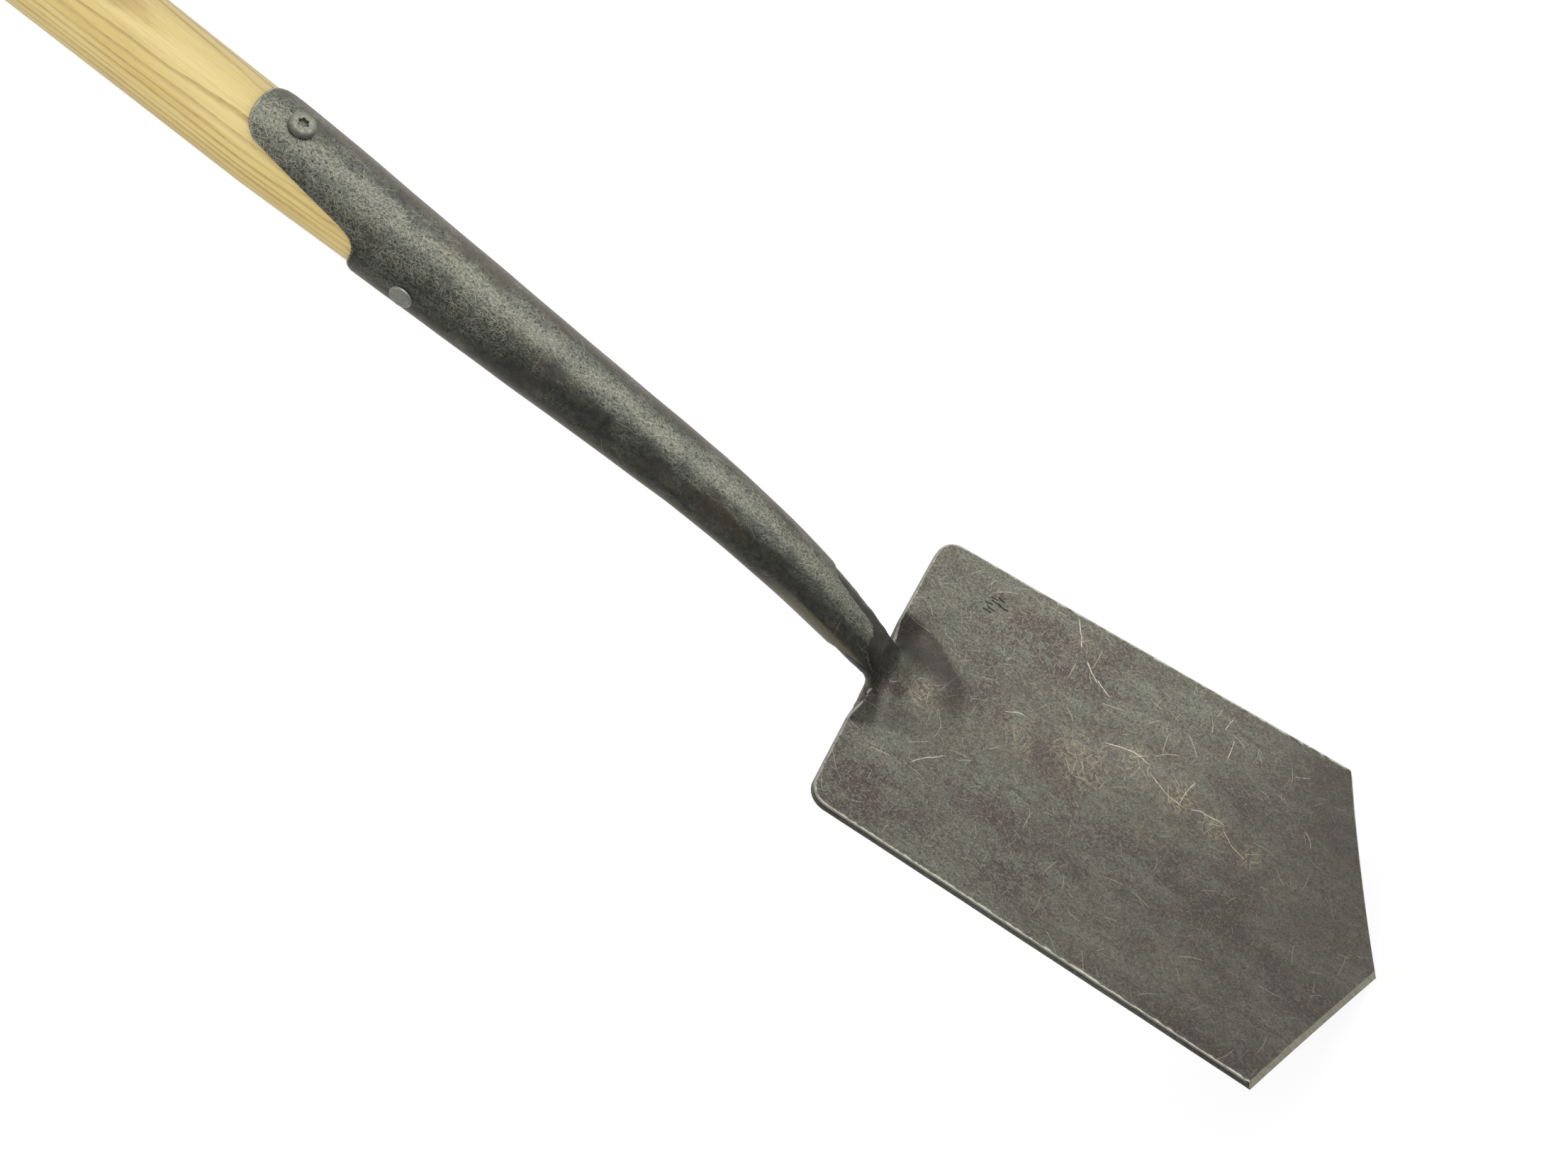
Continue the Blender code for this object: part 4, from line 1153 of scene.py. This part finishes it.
def make_grip(ash):
    """Solid T-grip with rounded ends and the mortise for the shaft cut out of it."""
    flat_end = GRIP_HALF_LENGTH - GRIP_ROUNDING
    turns = np.radians(62.0) * np.arange(1, 9) / 8
    half = [*np.linspace(0.0, flat_end, 46), *(flat_end + GRIP_ROUNDING * np.sin(turns))]
    stations = np.array([-x for x in half[:0:-1]] + half)[:, None]
    top, bottom, depth, square = grip_section(stations)
    angle = np.linspace(0.0, 2 * math.pi, 97)[None, :]
    c, s = np.cos(angle), np.sin(angle)
    power = 2.0 / np.where(s < 0, square, 2.3)
    y = depth * np.sign(c) * np.abs(c) ** power
    z = (top + bottom) / 2 + (top - bottom) / 2 * np.sign(s) * np.abs(s) ** power
    points = np.stack(np.broadcast_arrays(stations, y, z), axis=-1)
    uv = np.stack(np.broadcast_arrays(stations, angle * 20.0), axis=-1)
    lids = [fan(points[i], uv[i]) for i in (0, -1)]
    grip = build("ash_t_grip", [sheet(points, uv)] + lids, [ash], "t_grip", sharp=30.0)
    seat = SHAFT_TOP_RADIUS + GAP
    hole = TENON_RADIUS + GAP
    open_end = GRIP_TOP_Z - 60.0
    mortise = [(0.0, open_end), (seat, open_end), (seat, SHOULDER_Z + GAP)]
    mortise += [(hole, SHOULDER_Z + GAP), (hole, SHAFT_TOP_Z + GAP), (0.0, SHAFT_TOP_Z + GAP)]
    carve(grip, "mortise", turned(mortise))
    return grip


# ---------------------------------------------------------------- fixings

def make_screw(zinc):
    """Pan head with a soft shoulder, a six-lobe recess and a plain shank into the wood."""
    seat_y = -float(socket_radius(SCREW_Z)) - GAP / 3
    crown_y = seat_y - SCREW_HEAD_HEIGHT
    profile = [(0.0, crown_y), (3.0, crown_y + 0.02)]
    for turn in np.linspace(0.0, 90.0, 9):
        a = math.radians(turn)
        reach = SCREW_FLAT_RADIUS + (SCREW_HEAD_RADIUS - SCREW_FLAT_RADIUS) * math.sin(a)
        profile.append((reach, crown_y + 1.7 * (1.0 - math.cos(a))))
    profile += [(SCREW_HEAD_RADIUS, seat_y - 0.35), (SCREW_HEAD_RADIUS - 0.3, seat_y)]
    profile += [(SCREW_SHANK_RADIUS, seat_y), (SCREW_SHANK_RADIUS, seat_y + 20.0), (0.0, seat_y + 24.0)]
    screw = build("pan_head_screw", [turned(profile, "Y", 72, (0.0, 0.0, SCREW_Z))], [zinc],
                  "strap_screw", sharp=35.0)
    angle = np.linspace(0.0, 2 * math.pi, 73)
    lobed = TORX_RADIUS * (0.865 + 0.135 * np.cos(6 * angle))
    rows = []
    for y, share in ((crown_y - 1.0, 0.0), (crown_y - 1.0, 1.0), (crown_y + 1.9, 1.0), (crown_y + 2.3, 0.0)):
        rows.append(np.stack([share * lobed * np.sin(angle), np.full(73, y),
                              SCREW_Z + share * lobed * np.cos(angle)], axis=-1))
    carve(screw, "recess", sheet(rows, np.zeros((4, 73, 2))))
    return screw


def make_rivet(steel):
    """Solid rivet across the socket with a low, slightly uneven head on each side."""
    seat = float(socket_radius(RIVET_Z)) - 0.1
    side = []
    for turn in np.linspace(0.0, 90.0, 10):
        a = math.radians(turn)
        rise = RIVET_HEAD_HEIGHT * (0.35 * math.cos(a) + 0.65 * min(1.0, 2.2 * math.cos(a)))
        side.append((RIVET_HEAD_RADIUS * math.sin(a), seat + 0.3 + rise))
    side += [(RIVET_HEAD_RADIUS, seat), (3.0, seat)]
    profile = [(r, -x) for r, x in side] + list(reversed(side))
    return build("socket_rivet_fine", [turned(profile, "X", 48, (0.0, 0.0, RIVET_Z), 0.012)], [steel],
                 "socket_rivet", sharp=50.0)


def make_dowel(beech):
    """Pin through the back of the grip and the tenon, cut off just below the grip's surface."""
    front_y, back_y = -14.0, GRIP_BACK_Y - 0.6
    profile = [(0.0, front_y), (DOWEL_RADIUS - 0.6, front_y), (DOWEL_RADIUS, front_y + 0.6)]
    profile += [(DOWEL_RADIUS, back_y - 0.2), (DOWEL_RADIUS - 0.2, back_y), (0.0, back_y)]
    return build("beech_dowel", [turned(profile, "Y", 48, (0.0, 0.0, DOWEL_Z))], [beech],
                 "grip_dowel", sharp=35.0)


# ---------------------------------------------------------------- studio

def make_floor():
    """Pale, slightly self-lit ground for the camera only; it throws no light on the spade."""
    size = 30.0
    mesh = bpy.data.meshes.new("studio_floor")
    corners = [(-size, -size, 0.0), (size, -size, 0.0), (size, size, 0.0), (-size, size, 0.0)]
    mesh.from_pydata(corners, [], [(0, 1, 2, 3)])
    floor = new_object("studio_floor", mesh)
    material, _, shader = new_material("pale_floor")
    for key, value in {"Base Color": (0.3, 0.3, 0.3, 1.0), "Roughness": 0.9, "Specular IOR Level": 0.0,
                       "Emission Color": (1.0, 1.0, 1.0, 1.0), "Emission Strength": 0.8}.items():
        shader.inputs[key].default_value = value
    mesh.materials.append(material)
    floor.visible_glossy = False
    floor.visible_diffuse = False


def lobe(direction, towards, sharpness, strength):
    """Soft patch of light in the surroundings, centred on one direction."""
    aim = Vector(towards).normalized()
    facing = result(direction.tree, "ShaderNodeVectorMath", {0: direction, 1: aim}, "Value",
                    operation="DOT_PRODUCT")
    return calc("EXPONENT", (facing - 1.0) * sharpness) * strength


# Soft lights: (direction, sharpness, strength)
STUDIO_LIGHTS = (
    ((0.10, -0.98, -0.05), 7.0, 2.8),
    ((1.0, -0.35, 0.25), 3.0, 0.9),
    ((0.56, 0.81, -0.18), 2.0, 0.9),
    ((-0.2, 0.1, 1.0), 2.5, 0.5),
)
STUDIO_DIM = 0.06
MATT_LIGHT = ((-0.57, -0.8, 0.3), 1.5, 0.95)
MATT_DIM = 0.42
BACKDROP_WHITE = 1.05


def make_world():
    """Soft studio surroundings: white to the camera, brighter in front and above for the spade."""
    world = bpy.data.worlds.new("studio")
    world.use_nodes = True
    bpy.context.scene.world = world
    tree = world.node_tree
    direction = result(tree, "ShaderNodeTexCoord", output="Generated")
    glossy = STUDIO_DIM
    for light in STUDIO_LIGHTS:
        glossy = lobe(direction, *light) + glossy
    matt = lobe(direction, *MATT_LIGHT) + MATT_DIM
    path = node(tree, "ShaderNodeLightPath").outputs
    on_matt, on_camera = Value(path["Is Diffuse Ray"]), Value(path["Is Camera Ray"])
    strength = result(tree, "ShaderNodeMix", {0: on_matt, 2: glossy, 3: matt})
    strength = result(tree, "ShaderNodeMix", {0: on_camera, 2: strength, 3: BACKDROP_WHITE})
    background = tree.nodes["Background"]
    background.inputs["Color"].default_value = (1.0, 1.0, 1.0, 1.0)
    link(strength, background.inputs["Strength"])


def make_camera():
    """Above and to the left of the blade's front, strongly rolled, as a hand-held product shot."""
    data = bpy.data.cameras.new("main_camera")
    data.sensor_width = 36.0
    data.lens = 41.84
    data.clip_start = 0.01
    camera = new_object("main_camera", data)
    camera.location = place((-407.5, -568.77, 420.4))
    camera.rotation_euler = Euler([math.radians(a) for a in (73.218, 50.787, -47.76)])
    bpy.context.scene.camera = camera


def main():
    steel = blade_steel()
    make_blade(steel, ground_steel())
    make_socket(socket_steel())
    make_weld(steel)
    shaft_ash = wood("shaft_ash", "Z", (0.86, 0.69, 0.31), (0.73, 0.555, 0.20), (0.43, 0.28, 0.09),
                     2.9, 0.12, -0.023, 10.0, 3.0)
    grip_ash = wood("grip_ash", "X", (0.86, 0.74, 0.45), (0.78, 0.64, 0.35), (0.54, 0.39, 0.16),
                    2.1, 0.3, 0.02, 7.0, 9.0)
    make_shaft(shaft_ash)
    make_grip(grip_ash)
    make_screw(plain_metal("zinc_steel", (0.20, 0.20, 0.165), (0.33, 0.325, 0.265), 0.5, 2.5))
    make_rivet(plain_metal("rivet_steel", (0.30, 0.30, 0.26), (0.44, 0.44, 0.39), 0.45, 2.0))
    make_dowel(wood("dowel_beech", "Z", (0.62, 0.44, 0.24), (0.55, 0.37, 0.18), (0.36, 0.22, 0.1),
                    1.6, 0.4, 0.01, 3.0, 5.0))
    make_floor()
    make_world()
    make_camera()
    bpy.context.scene.view_settings.view_transform = "Standard"


main()
